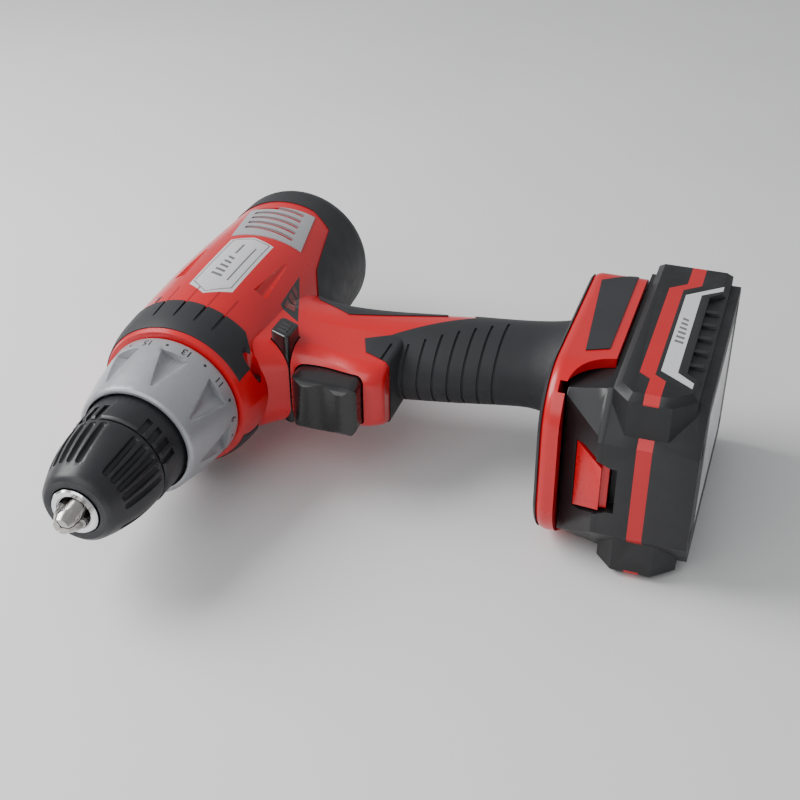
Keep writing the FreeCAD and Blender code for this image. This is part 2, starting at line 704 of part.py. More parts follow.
def gearbox_nodes():
    """The gearbox and the two planetary stages."""
    body = union([
        cyl_y(GEARBOX_R, GEARBOX_FRONT, MOTOR_FACE),
        cyl_y(NOSE_TUBE_R, NOSE_TUBE_FRONT, GEARBOX_FRONT + 1.0),
    ])
    bore = union([
        cyl_y(GEARBOX_BORE_R, GEARBOX_FLOOR, MOTOR_FACE + 1.0),
        cyl_y(NOSE_TUBE_BORE_R, NOSE_TUBE_FRONT - 1.0, GEARBOX_FLOOR + 1.0),
    ])
    save("gearbox_housing", body.cut(bore))

    bearing_rear = GEARBOX_FLOOR - 0.2
    bush = ring_y(NOSE_TUBE_BORE_R, SPINDLE_R + RUNNING, NOSE_TUBE_FRONT + 0.5, bearing_rear)
    save("spindle_bearing", bush)

    save("ring_gear_1", ring_gear(STAGE_1_FRONT, STAGE_1_REAR))
    save("ring_gear_2", ring_gear(STAGE_2_FRONT, STAGE_2_REAR))
    pinion_room = MODULE * SUN_TEETH / 2.0 + 2.6
    plate = ring_y(GEARBOX_BORE_R, pinion_room, STAGE_1_REAR + GEAR_SIDE_GAP, MOTOR_FACE)
    save("gearbox_back_plate", plate)

    sun_front = STAGE_2_FRONT - GEAR_SIDE_GAP + 0.1
    sun = outer_gear(SUN_TEETH, sun_front, CARRIER_1_FRONT + 0.5)
    carrier = carrier_disc(CARRIER_1_FRONT, CARRIER_1_REAR, STAGE_1_REAR)
    save("carrier_1", union([carrier, sun]))
    for index in range(PLANET_COUNT):
        save("planet_1_" + "abc"[index], planet(STAGE_1_FRONT, STAGE_1_REAR, index))
        save("planet_2_" + "abc"[index], planet(STAGE_2_FRONT, STAGE_2_REAR, index))

    shaft = union([
        cyl_y(SPINDLE_R, CHUCK_REAR, CARRIER_2_FRONT + 1.0),
        cyl_y(SPINDLE_TIP_R, CHUCK_SPINDLE_TIP, CHUCK_REAR + 1.0),
        carrier_disc(CARRIER_2_FRONT, CARRIER_2_REAR, STAGE_2_REAR),
    ])
    save("spindle", shaft.cut(cyl_y(CHUCK_SCREW_R, CHUCK_SPINDLE_TIP - 1.0, CHUCK_SCREW_END)))


# ================================================================ motor
SHAFT_REAR = MOTOR_FACE + MOTOR_LENGTH + 3.0
CAN_WALL = 1.6
END_BELL_T = 5.0
MAGNET_T = 4.0


def motor_nodes():
    """A brushed motor with an inside fan and a pressed-on pinion."""
    rear = MOTOR_FACE + MOTOR_LENGTH - END_BELL_T
    inner = MOTOR_R - CAN_WALL
    can = cyl_y(MOTOR_R, MOTOR_FACE, rear)
    can = can.cut(cyl_y(inner, MOTOR_FACE + CAN_WALL, rear + 1.0))
    can = can.cut(cyl_y(3.3, MOTOR_FACE - 1.0, MOTOR_FACE + CAN_WALL + 1.0))
    vents = [spin(box(-4.0, 4.0, MOTOR_FACE + 4.0, MOTOR_FACE + 9.0, AXIS_HEIGHT + inner - 2.0,
                      AXIS_HEIGHT + MOTOR_R + 2.0), 60.0 * i + 30.0) for i in range(6)]
    can = can.cut(union(vents))
    front_bush = ring_y(3.3, MOTOR_SHAFT_R + RUNNING, MOTOR_FACE - 2.0, MOTOR_FACE + CAN_WALL + 2.0)
    magnet_ring = ring_y(inner, inner - MAGNET_T, MOTOR_FACE + 14.0, rear - 8.0)
    magnet_cut = box(-3.0, 3.0, -FAR, FAR, AXIS_HEIGHT - FAR, AXIS_HEIGHT + FAR)
    magnets = magnet_ring.cut(magnet_cut)
    save("motor_can", Part.makeCompound([can, front_bush] + magnets.Solids))

    bell = union([
        ring_y(MOTOR_R, 4.2, rear, rear + END_BELL_T),
        ring_y(6.0, 4.2, rear + 1.0, rear + END_BELL_T + 2.0),
    ])
    tabs = [box(s * 11.0 - 2.4, s * 11.0 + 2.4, rear + END_BELL_T, rear + END_BELL_T + 7.0,
                AXIS_HEIGHT - 0.4, AXIS_HEIGHT + 0.4) for s in (1, -1)]
    rear_bush = ring_y(4.2, MOTOR_SHAFT_R + RUNNING, rear + 0.5, rear + END_BELL_T + 1.5)
    brushes = [box(min(s * 5.2, s * 10.0), max(s * 5.2, s * 10.0), rear - 5.5, rear - 0.1,
                   AXIS_HEIGHT - 2.2, AXIS_HEIGHT + 2.2) for s in (1, -1)]
    holders = [box(min(s * 10.0, s * 15.0), max(s * 10.0, s * 15.0), rear - 6.0, rear,
                   AXIS_HEIGHT - 2.8, AXIS_HEIGHT + 2.8) for s in (1, -1)]
    save("motor_end_bell", Part.makeCompound([bell, rear_bush] + tabs + brushes + holders))

    save("motor_shaft", cyl_y(MOTOR_SHAFT_R, STAGE_1_FRONT, SHAFT_REAR))
    pinion = outer_gear(SUN_TEETH, STAGE_1_FRONT, MOTOR_FACE - 2.6)
    save("motor_pinion", pinion.cut(cyl_y(MOTOR_SHAFT_R, STAGE_1_FRONT - 1.0, MOTOR_FACE)))

    stack_r = inner - MAGNET_T - 0.4
    stack = ring_y(stack_r, MOTOR_SHAFT_R, MOTOR_FACE + 14.5, rear - 9.0)
    slot_count = 5
    slots = []
    for i in range(slot_count):
        slot = union([
            box(-0.9, 0.9, MOTOR_FACE, rear, AXIS_HEIGHT + stack_r - 2.4, AXIS_HEIGHT + stack_r + 2.0),
            cyl_y(2.5, MOTOR_FACE, rear, 0.0, AXIS_HEIGHT + stack_r - 4.2),
        ])
        slots.append(spin(slot, 360.0 * i / slot_count))
    stack = stack.cut(union(slots))
    commutator = ring_y(5.0, MOTOR_SHAFT_R, rear - 6.0, rear - 0.5)
    save("rotor_core", Part.makeCompound([stack, commutator]))

    hub = ring_y(5.0, MOTOR_SHAFT_R, MOTOR_FACE + 4.0, MOTOR_FACE + 12.0)
    disc = ring_y(stack_r, 4.0, MOTOR_FACE + 11.0, MOTOR_FACE + 12.0)
    blade_count = 9
    blades = [spin(box(-0.6, 0.6, MOTOR_FACE + 5.0, MOTOR_FACE + 11.5, AXIS_HEIGHT + 4.5,
                       AXIS_HEIGHT + inner - 1.5), 360.0 * i / blade_count) for i in range(blade_count)]
    save("motor_fan", union([hub, disc] + blades))


# ================================================================ torque collar and clutch
COLLAR_REAR = BARREL_FRONT - GAP - 0.3
COLLAR_FLANGE_T = 2.2
NUT_T = 4.5
SPRING_WIRE = 1.3


def collar_r(y):
    """The collar's outer radius at a place along the axis, slightly bulged."""
    share = (y - COLLAR_FRONT) / (COLLAR_REAR - COLLAR_FRONT)
    return COLLAR_FRONT_R + (COLLAR_REAR_R - COLLAR_FRONT_R) * share + 2.2 * share * (1.0 - share)


def clutch_nodes():
    """The torque collar, the nut it drives and the spring that the nut loads."""
    flange_front = NOSE_TUBE_FRONT + 0.4
    flange_rear = flange_front + COLLAR_FLANGE_T
    side = Part.BSplineCurve()
    stations = [COLLAR_FRONT + 0.8, -67.0, -60.0, -53.0, COLLAR_REAR - 0.8]
    side.interpolate([Vector(0, y, AXIS_HEIGHT + collar_r(y)) for y in stations])
    first = Vector(0, stations[0], AXIS_HEIGHT + collar_r(stations[0]))
    last = Vector(0, stations[-1], AXIS_HEIGHT + collar_r(stations[-1]))
    inside = [
        (COLLAR_REAR, collar_r(COLLAR_REAR) - 0.6), (COLLAR_REAR, COLLAR_THREAD_R + 3.4),
        (COLLAR_REAR - 4.0, COLLAR_THREAD_R), (flange_rear, COLLAR_THREAD_R),
        (flange_rear, NOSE_TUBE_R + GAP), (flange_front, NOSE_TUBE_R + GAP),
        (flange_front, COLLAR_BORE_R - 1.2), (COLLAR_FRONT + 4.0, COLLAR_BORE_R),
        (COLLAR_FRONT, COLLAR_BORE_R), (COLLAR_FRONT, collar_r(COLLAR_FRONT) - 0.7),
    ]
    corners = [last] + [Vector(0, y, AXIS_HEIGHT + r) for y, r in inside] + [first]
    wire = Part.Wire([side.toShape()] + list(Part.makePolygon(corners).Edges))
    collar = Part.Face(wire).revolve(Vector(0, 0, AXIS_HEIGHT), Vector(0, 1, 0), 360)
    scoop_front = COLLAR_FRONT + 5.0
    scoop_rear = COLLAR_REAR - 6.5
    rise = collar_r(scoop_rear) - collar_r(scoop_front)
    lean = math.degrees(math.atan2(rise, scoop_rear - scoop_front))
    scoops = []
    for index in range(COLLAR_SCOOPS):
        length = scoop_rear - scoop_front
        cone = Part.makeCone(0.6, 6.6, length, Vector(0, 0, 0), Vector(0, 1, 0))
        cone.rotate(Vector(0, 0, 0), Vector(1, 0, 0), lean + 7.0)
        cone.translate(Vector(0, scoop_front, AXIS_HEIGHT + collar_r(scoop_front) + 0.3))
        scoops.append(spin(cone, 360.0 * (index + 0.36) / COLLAR_SCOOPS))
    save("torque_collar", collar.cut(union(scoops)))

    nut_front = flange_rear + 0.6
    nut = ring_y(COLLAR_THREAD_R - GAP, NOSE_TUBE_R + GAP, nut_front, nut_front + NUT_T)
    save("clutch_nut", nut)
    coil_r = NOSE_TUBE_R + 1.2 + SPRING_WIRE
    save("clutch_spring", spring_y(coil_r, SPRING_WIRE, nut_front + NUT_T, GEARBOX_FRONT, 3.5))


# ================================================================ chuck
JAW_SLOPE = math.tan(JAW_ANGLE)
CHUCK_BORE_FRONT = -94.0
CHUCK_BORE_REAR = -88.0
CHUCK_SCREW_R = 2.5
CHUCK_SCREW_HEAD_R = 3.9
CHUCK_SCREW_HEAD_T = 2.5
CHUCK_WALL_T = 2.0
CHUCK_SCREW_SEAT = CHUCK_BORE_REAR + CHUCK_SCREW_HEAD_T
CHUCK_SPINDLE_TIP = CHUCK_SCREW_SEAT + CHUCK_WALL_T
CHUCK_SCREW_END = CHUCK_SPINDLE_TIP + 14.0
CHUCK_NOSE_R = 7.5
CHUCK_FLANGE_R = 12.5
CHUCK_GROOVE_R = 10.5
CHUCK_REAR_R = 15.0
CHUCK_BOSS_R = 10.0
NUT_FRONT = -99.8
NUT_REAR = -90.7
NOSE_RING_R = 8.8


def jaw_axis_r(y):
    """How far a jaw's axis is from the spindle axis."""
    return JAW_TIP_AXIS_R + (y - JAW_TIP) * JAW_SLOPE


def jaw_reach(y):
    """How far a jaw reaches from the spindle axis."""
    return jaw_axis_r(y) + JAW_R / math.cos(JAW_ANGLE)


def jaw_bar(radius, start, end):
    """A round bar along the top jaw's axis, between two lengths measured from its tip."""
    direction = Vector(0, math.cos(JAW_ANGLE), math.sin(JAW_ANGLE))
    origin = Vector(0, JAW_TIP, AXIS_HEIGHT + JAW_TIP_AXIS_R) + direction * start
    return Part.makeCylinder(radius, end - start, origin, direction)


def chuck_jaw(index):
    """One jaw: an inclined round bar, cut to a third of a circle where the jaws meet."""
    bar = jaw_bar(JAW_R, -6.0, JAW_LENGTH)
    reach = 30.0
    spread = reach * math.tan(math.radians(180.0 / JAW_COUNT))
    corner = AXIS_HEIGHT + JAW_FLAT_R - 0.22
    sector = prism_y([
        (0.0, corner), (spread, corner + reach), (-spread, corner + reach),
    ], -FAR, 0.0)
    flat = box(-reach, reach, JAW_TIP, 0.0, AXIS_HEIGHT + JAW_FLAT_R, AXIS_HEIGHT + reach)
    tip_cone = Part.makeCone(2.9, 40.0, 70.0, Vector(0, JAW_TIP, AXIS_HEIGHT), Vector(0, 1, 0))
    jaw = bar.common(sector).common(flat).common(tip_cone)
    teeth = []
    tooth_pitch = 1.6
    for step in range(8):
        start = 21.0 + step * tooth_pitch
        ring = jaw_bar(JAW_R + 1.0, start, start + tooth_pitch / 2.0)
        outer_side = box(-3.0, 3.0, -FAR, 0.0, 0.0, 2.0 * FAR)
        keep = jaw_bar(JAW_R - 0.5, start - 1.0, start + 2.0)
        teeth.append(ring.cut(keep).common(outer_side))
    upper = []
    for solid in Part.makeCompound(teeth).Solids:
        middle = solid.CenterOfMass
        if middle.z > AXIS_HEIGHT + jaw_axis_r(middle.y):
            upper.append(solid)
    return spin(jaw.cut(union(upper)), 360.0 * index / JAW_COUNT)


def chuck_nodes():
    """The keyless chuck: body, jaws, nut, two sleeves, nose ring and retaining screw."""
    body = revolve([
        (CHUCK_NOSE, 0.0), (CHUCK_NOSE, CHUCK_NOSE_R), (CHUCK_NOSE + 8.5, CHUCK_NOSE_R),
        (CHUCK_NOSE + 10.5, CHUCK_FLANGE_R), (NUT_FRONT - GAP, CHUCK_FLANGE_R),
        (NUT_FRONT - GAP, CHUCK_GROOVE_R), (NUT_REAR + GAP, CHUCK_GROOVE_R),
        (NUT_REAR + GAP, CHUCK_REAR_R), (-75.5, CHUCK_REAR_R), (-75.5, CHUCK_BOSS_R),
        (CHUCK_REAR, CHUCK_BOSS_R), (CHUCK_REAR, 0.0),
    ])
    hole = jaw_bar(JAW_R + JAW_CLEARANCE, -12.0, JAW_LENGTH + JAW_TRAVEL + 6.0)
    holes = [spin(hole, 360.0 * index / JAW_COUNT) for index in range(JAW_COUNT)]
    bores = [
        cyl_y(CHUCK_BORE_R + 0.7, CHUCK_NOSE - 1.0, CHUCK_BORE_FRONT),
        cyl_y(CHUCK_BORE_R, CHUCK_BORE_FRONT - 1.0, CHUCK_BORE_REAR),
        cyl_y(CHUCK_SCREW_HEAD_R + 0.2, CHUCK_BORE_REAR - 1.0, CHUCK_SCREW_SEAT),
        cyl_y(CHUCK_SCREW_R, CHUCK_SCREW_SEAT - 1.0, CHUCK_REAR + 1.0),
        cyl_y(SPINDLE_TIP_R, CHUCK_SPINDLE_TIP, CHUCK_REAR + 1.0),
    ]
    save("chuck_body", body.cut(union(holes + bores)))
    for index in range(JAW_COUNT):
        save("chuck_jaw_" + str(index + 1), chuck_jaw(index))

    head = cyl_y(CHUCK_SCREW_HEAD_R, CHUCK_BORE_REAR, CHUCK_SCREW_SEAT)
    shank = cyl_y(CHUCK_SCREW_R, CHUCK_SCREW_SEAT - 0.5, CHUCK_SCREW_END - 1.0)
    face = CHUCK_BORE_REAR
    slot = box(-0.5, 0.5, face - 1.0, face + 1.1, AXIS_HEIGHT - 3.0, AXIS_HEIGHT + 3.0)
    cross = union([slot, spin(slot, 90.0)])
    save("chuck_screw", union([head, shank]).cut(cross))

    ring = revolve([
        (CHUCK_NOSE - 0.6, CHUCK_NOSE_R - 0.9), (CHUCK_NOSE - 0.6, NOSE_RING_R - 0.5),
        (CHUCK_NOSE, NOSE_RING_R), (CHUCK_NOSE + 4.0, NOSE_RING_R), (CHUCK_NOSE + 4.0, CHUCK_NOSE_R),
        (CHUCK_NOSE, CHUCK_NOSE_R), (CHUCK_NOSE, CHUCK_NOSE_R - 0.9),
    ])
    save("chuck_nose_ring", ring)

    nut_r = FRONT_SLEEVE_R - SLEEVE_WALL - 0.9
    nut = revolve([
        (NUT_FRONT, jaw_reach(NUT_FRONT) + 0.15), (NUT_FRONT, nut_r),
        (NUT_REAR, nut_r), (NUT_REAR, jaw_reach(NUT_REAR) + 0.15),
    ])
    save("chuck_nut", nut)
    save("chuck_front_sleeve", front_sleeve(nut_r))
    save("chuck_rear_sleeve", rear_sleeve())


def sleeve_r(y):
    """The front sleeve's outer radius, falling in a curve to its nose."""
    share = (SLEEVE_SPLIT - y) / (SLEEVE_SPLIT - CHUCK_NOSE)
    return FRONT_SLEEVE_R - (FRONT_SLEEVE_R - FRONT_SLEEVE_TIP_R) * share ** 2.0


def front_sleeve(nut_r):
    """The tapered sleeve that the hand turns, with groups of long flutes."""
    front = CHUCK_NOSE + 0.6
    stations = [SLEEVE_SPLIT - 0.8, -94.0, -100.0, -106.0, -111.0, front + 1.4]
    side = Part.BSplineCurve()
    side.interpolate([Vector(0, y, AXIS_HEIGHT + sleeve_r(y)) for y in stations])
    first = Vector(0, stations[0], AXIS_HEIGHT + sleeve_r(stations[0]))
    last = Vector(0, stations[-1], AXIS_HEIGHT + sleeve_r(stations[-1]))
    nose_gap_r = NOSE_RING_R + 0.5
    inside = [
        (front, sleeve_r(stations[-1]) - 1.6), (front, nose_gap_r), (front + 4.2, nose_gap_r),
        (-106.5, CHUCK_FLANGE_R + 0.4), (NUT_FRONT, CHUCK_FLANGE_R + 0.4), (NUT_FRONT, nut_r),
        (SLEEVE_SPLIT, nut_r), (SLEEVE_SPLIT, FRONT_SLEEVE_R - 0.7),
    ]
    corners = [last] + [Vector(0, y, AXIS_HEIGHT + r) for y, r in inside] + [first]
    wire = Part.Wire([side.toShape()] + list(Part.makePolygon(corners).Edges))
    sleeve = Part.Face(wire).revolve(Vector(0, 0, AXIS_HEIGHT), Vector(0, 1, 0), 360)
    flute_rear = -91.5
    flute_front = -108.5
    flute_r = 1.35
    rise_rear = sleeve_r(flute_rear) + 0.25
    rise_front = sleeve_r(flute_front) + 0.25
    start = Vector(0, flute_front, AXIS_HEIGHT + rise_front)
    end = Vector(0, flute_rear, AXIS_HEIGHT + rise_rear)
    bar = Part.makeCylinder(flute_r, (end - start).Length, start, end - start)
    flute = union([bar, Part.makeSphere(flute_r, start), Part.makeSphere(flute_r, end)])
    groups = 4
    per_group = 5
    step = 13.0
    flutes = []
    for group in range(groups):
        for index in range(per_group):
            angle = 360.0 * group / groups + (index - (per_group - 1) / 2.0) * step + 62.0
            flutes.append(spin(flute, angle))
    return sleeve.cut(Part.makeCompound(flutes))


def rear_sleeve():
    """The short ring fixed to the chuck body, with groups of square notches."""
    front = SLEEVE_SPLIT + GAP
    rear = CHUCK_REAR - 0.3
    bore = REAR_SLEEVE_R - SLEEVE_WALL
    sleeve = revolve([
        (front, bore), (front, REAR_SLEEVE_R - 1.0), (front + 1.0, REAR_SLEEVE_R - 0.3),
        (rear - 1.0, REAR_SLEEVE_R), (rear, REAR_SLEEVE_R - 1.0), (rear, CHUCK_BOSS_R),
        (rear - 2.4, CHUCK_BOSS_R), (rear - 2.4, bore),
    ])
    floor = AXIS_HEIGHT + REAR_SLEEVE_R - 1.3
    notch = box(-1.2, 1.2, front - 1.0, front + 7.5, floor, floor + 10.0)
    groups = 4
    per_group = 4
    step = 13.0
    notches = []
    for group in range(groups):
        for index in range(per_group):
            angle = 360.0 * group / groups + (index - (per_group - 1) / 2.0) * step + 55.0
            notches.append(spin(notch, angle))
    return sleeve.cut(Part.makeCompound(notches))


# ================================================================ trigger, selector and electrics
PLUNGER_R = 3.0
TRIGGER_BACK = -13.0
WIRE_R = 1.3
TERMINAL_GAP = 0.4           # under and over the terminal block's top plate
CONTACT_PLACES = (-7.5, 0.0, 7.5)


def trigger_nodes():
    """The trigger and its return spring."""
    half = TRIGGER_HALF_WIDTH
    middle = (TRIGGER_BOTTOM + TRIGGER_TOP) / 2.0
    front = TRIGGER_FRONT
    nose_start = front + 9.0
    outline = [
        (nose_start, TRIGGER_TOP), (front + 3.6, TRIGGER_TOP - 1.8), (front + 0.4, TRIGGER_TOP - 7.5),
        (front + 1.6, middle - 1.0), (front - 0.2, TRIGGER_BOTTOM + 5.0), (front + 2.4, TRIGGER_BOTTOM + 0.9),
        (nose_start, TRIGGER_BOTTOM),
    ]
    nose = Part.BSplineCurve()
    nose.interpolate([Vector(-half, y, z) for y, z in outline])
    rear_corners = [
        Vector(-half, nose_start, TRIGGER_BOTTOM), Vector(-half, TRIGGER_BACK, TRIGGER_BOTTOM),
        Vector(-half, TRIGGER_BACK, TRIGGER_TOP), Vector(-half, nose_start, TRIGGER_TOP),
    ]
    face = Part.Face(Part.Wire([nose.toShape()] + list(Part.makePolygon(rear_corners).Edges)))
    body = face.extrude(Vector(2.0 * half, 0, 0))
    plan = box(-half, half, front - 0.4, TRIGGER_BACK, TRIGGER_BOTTOM - 1.0, TRIGGER_TOP + 1.0)
    corners = [e for e in plan.Edges if e.BoundBox.ZLength > 10.0 and e.BoundBox.YMax < front]
    body = body.common(plan.makeFillet(4.0, corners))
    guide = box(-half, half, front - 1.0, TRIGGER_BACK, TRIGGER_BOTTOM, TRIGGER_TOP)
    body = body.common(guide.makeFillet(3.2, [e for e in guide.Edges if e.BoundBox.YLength > 10.0]))
    room = half - 2.2
    pocket = box(-room, room, front + 5.5, TRIGGER_BACK + 1.0, TRIGGER_BOTTOM + 3.0, TRIGGER_TOP - 4.0)
    stem = cyl_y(PLUNGER_R, front + 5.0, SWITCH_Y0 + 1.5, 0.0, PLUNGER_Z)
    save("trigger", union([body.cut(pocket), stem]))
    coil = spring_y(PLUNGER_R + 1.8, 0.5, front + 5.5, SWITCH_Y0, 7.0, PLUNGER_Z)
    save("trigger_spring", coil)


def selector_node():
    """The forward and reverse slider that passes through the housing above the trigger."""
    reach = 22.5
    bar = prism_x(selector_outline(0.0), -reach + SELECTOR_TRAVEL, reach)
    long_edges = [edge for edge in bar.Edges if edge.BoundBox.XLength > 10.0]
    bar = bar.makeFillet(1.6, long_edges)
    ends = [edge for edge in bar.Edges if edge.BoundBox.XLength < 0.01]
    save("direction_selector", bar.makeFillet(0.8, ends))


def tube_path(points, radius, bend):
    """A round wire along straight runs joined by tangent arcs of one bend radius."""
    edges = []
    start = points[0]
    for index in range(1, len(points) - 1):
        corner = points[index]
        back = (points[index - 1] - corner).normalize()
        ahead = (points[index + 1] - corner).normalize()
        turn = math.pi - back.getAngle(ahead)
        trim = bend * math.tan(turn / 2.0)
        first = corner + back * trim
        last = corner + ahead * trim
        inward = (back + ahead).normalize()
        centre = corner + inward * (bend / math.cos(turn / 2.0))
        middle = centre - inward * bend
        edges.append(Part.makeLine(start, first))
        edges.append(Part.Arc(first, middle, last).toShape())
        start = last
    edges.append(Part.makeLine(start, points[-1]))
    path = Part.Wire(edges)
    direction = (points[1] - points[0]).normalize()
    profile = Part.Wire(Part.makeCircle(radius, points[0], direction))
    return path.makePipeShell([profile], True, False)


def electric_nodes():
    """The switch with its heat sink, the inside wires and the contacts in the foot."""
    body = box(-SWITCH_HALF_WIDTH, SWITCH_HALF_WIDTH, SWITCH_Y0, SWITCH_Y1, SWITCH_Z0, SWITCH_Z1)
    stem_hole = cyl_y(PLUNGER_R + RUNNING, SWITCH_Y0 - 1.0, SWITCH_Y0 + 11.0, 0.0, PLUNGER_Z)
    lever = box(-3.0, 3.0, SWITCH_Y0 + 1.0, SWITCH_Y0 + 10.0, SWITCH_Z1 - 0.5, SWITCH_Z1 + 3.0)
    side = SWITCH_HALF_WIDTH
    sink = box(side, side + 1.6, SWITCH_Y0 + 4.0, SWITCH_Y1 - 4.0, SWITCH_Z0, SWITCH_Z1 - 4.0)
    save("switch_body", Part.makeCompound([union([body.cut(stem_hole), lever]), sink]))

    top = terminal_seat(TERMINAL_GAP)
    block = union([top, box(-11.0, 11.0, 11.0, FOOT_REAR - 10.0, FOOT_TOP - 12.0, FOOT_TOP - 5.0)])
    slots = [box(x - 0.9, x + 0.9, 8.0, 26.0, FOOT_TOP - 13.0, FOOT_TOP - 6.0) for x in CONTACT_PLACES]
    save("terminal_block", block.cut(union(slots)))

    wires = []
    start = grip_centre(FOOT_TOP) - 8.0
    bend_z = GRIP_MID_Z - 28.0
    for x in (-4.0, 4.0):
        wires.append(tube_path([
            Vector(x, start, top.BoundBox.ZMax), Vector(x, start, FOOT_TOP + 11.0),
            Vector(x, grip_centre(bend_z) - 8.0, bend_z), Vector(x, 6.0, GRIP_MID_Z - 4.0),
            Vector(x, 6.0, SWITCH_Z0),
        ], WIRE_R, 14.0))
    tab_y = MOTOR_FACE + MOTOR_LENGTH + 4.0
    under_motor = AXIS_HEIGHT - MOTOR_R
    for side in (1, -1):
        wires.append(tube_path([
            Vector(side * 6.0, 6.6, SWITCH_Z1), Vector(side * 6.0, 6.6, SWITCH_Z1 + 14.5),
            Vector(side * 8.0, 16.0, under_motor - 5.6), Vector(side * 11.0, 40.0, under_motor - 4.6),
            Vector(side * 11.0, tab_y, under_motor - 0.1), Vector(side * 11.0, tab_y, AXIS_HEIGHT - 0.4),
        ], WIRE_R, 6.0))
    save("internal_wires", Part.makeCompound(wires))


# ================================================================ battery pack
PANEL_CHAMFER = 2.4
SHOULDER_Y = -37.0           # where the core's front corners start
BOARD_T = 1.6
LABEL_T = 0.4
PACK_SCREW_SEAT = 4.2        # underside of the pack screws' heads
BUTTON_LOW = 31.4            # lower edge of the release button
BUTTON_HIGH = 41.4
BUTTON_LOW_HALF = 8.8        # half width of the button at its lower edge
BUTTON_HIGH_HALF = 13.6
POCKET_BACK = -37.6          # rear wall of the button's recess
SKIRT_BACK = -43.8           # rear of the skirt under the button
HOOK_LOW = 37.0
HOOK_FRONT = -36.7
HOOK_REAR = -34.9
HOOK_HALF_WIDTH = 4.2
SPRING_Y = -41.0             # axis of the button's spring
SPRING_ROOM_R = 2.3
SPRING_FOOT = 24.6           # floor of the hole under the spring


def pack_core(z0, z1, grow=0.0):
    """The pack's body between its side panels, with its front corners cut back."""
    half = PACK_CORE_HALF_WIDTH + grow
    nose = NOSE_HALF_WIDTH + grow * 0.5
    front = PACK_FRONT - grow
    rear = PACK_REAR + grow
    return prism_z([
        (half, rear - 4.0), (half - 4.0, rear), (-half + 4.0, rear), (-half, rear - 4.0),
        (-half, SHOULDER_Y), (-nose, front), (nose, front), (half, SHOULDER_Y),
    ], z0, z1)


def pack_panel(grow=0.0):
    """The raised panel on the pack's left side."""
    outline = [
        (PACK_REAR - 0.6, 3.5), (PACK_REAR - 0.6, PACK_SPLIT), (-40.0, PACK_SPLIT), (-46.5, PACK_SPLIT - 6.0),
        (-46.5, 11.0), (-40.0, 3.5),
    ]
    panel = prism_x(outline, NOSE_HALF_WIDTH + 1.0, PACK_HALF_WIDTH + grow)
    face_edges = [edge for edge in panel.Edges if edge.BoundBox.XMin > PACK_HALF_WIDTH + grow - 0.01]
    return panel.makeChamfer(PANEL_CHAMFER, face_edges)


def both_sides(shape):
    """A shape and its mirror image."""
    return union([shape, mirrored(shape)])


def stripe_band():
    """The side-view band of the coloured stripe, with a step near each end."""
    width = 5.2
    line = [(-FAR, 18.0), (-34.5, 18.0), (-31.5, 22.0), (29.5, 22.0), (34.5, 16.0), (FAR, 16.0)]
    upper = [(y, z + width / 2.0) for y, z in line]
    lower = [(y, z - width / 2.0) for y, z in reversed(line)]
    return prism_x(upper + lower, -FAR, FAR)


def lower_edge_cut():
    """The finger recess along the lower edge of the left panel, with raised ribs left in it."""
    outline = [(27.0, 9.5), (34.0, 2.0), (34.0, -1.0), (-34.0, -1.0), (-34.0, 2.0), (-27.5, 9.5)]
    floor = PACK_HALF_WIDTH - 1.8
    recess = prism_x(outline, floor, PACK_HALF_WIDTH + 2.0)
    places = (-20.0, -10.5, -1.0, 8.5, 18.0)
    ribs = [box(floor - 1.0, floor + 0.9, y - 1.1, y + 1.1, 4.0, 12.0) for y in places]
    return recess.cut(union(ribs))


def badge_plate():
    """The bright bracket-shaped plate on the left panel, above the finger recess."""
    outline = [
        (26.0, 18.0), (36.5, 5.5), (33.0, 5.5), (27.5, 12.5),
        (-28.0, 12.5), (-33.0, 6.5), (-36.5, 6.5), (-28.5, 18.0),
    ]
    return prism_x(outline, PACK_HALF_WIDTH - LABEL_T, PACK_HALF_WIDTH)


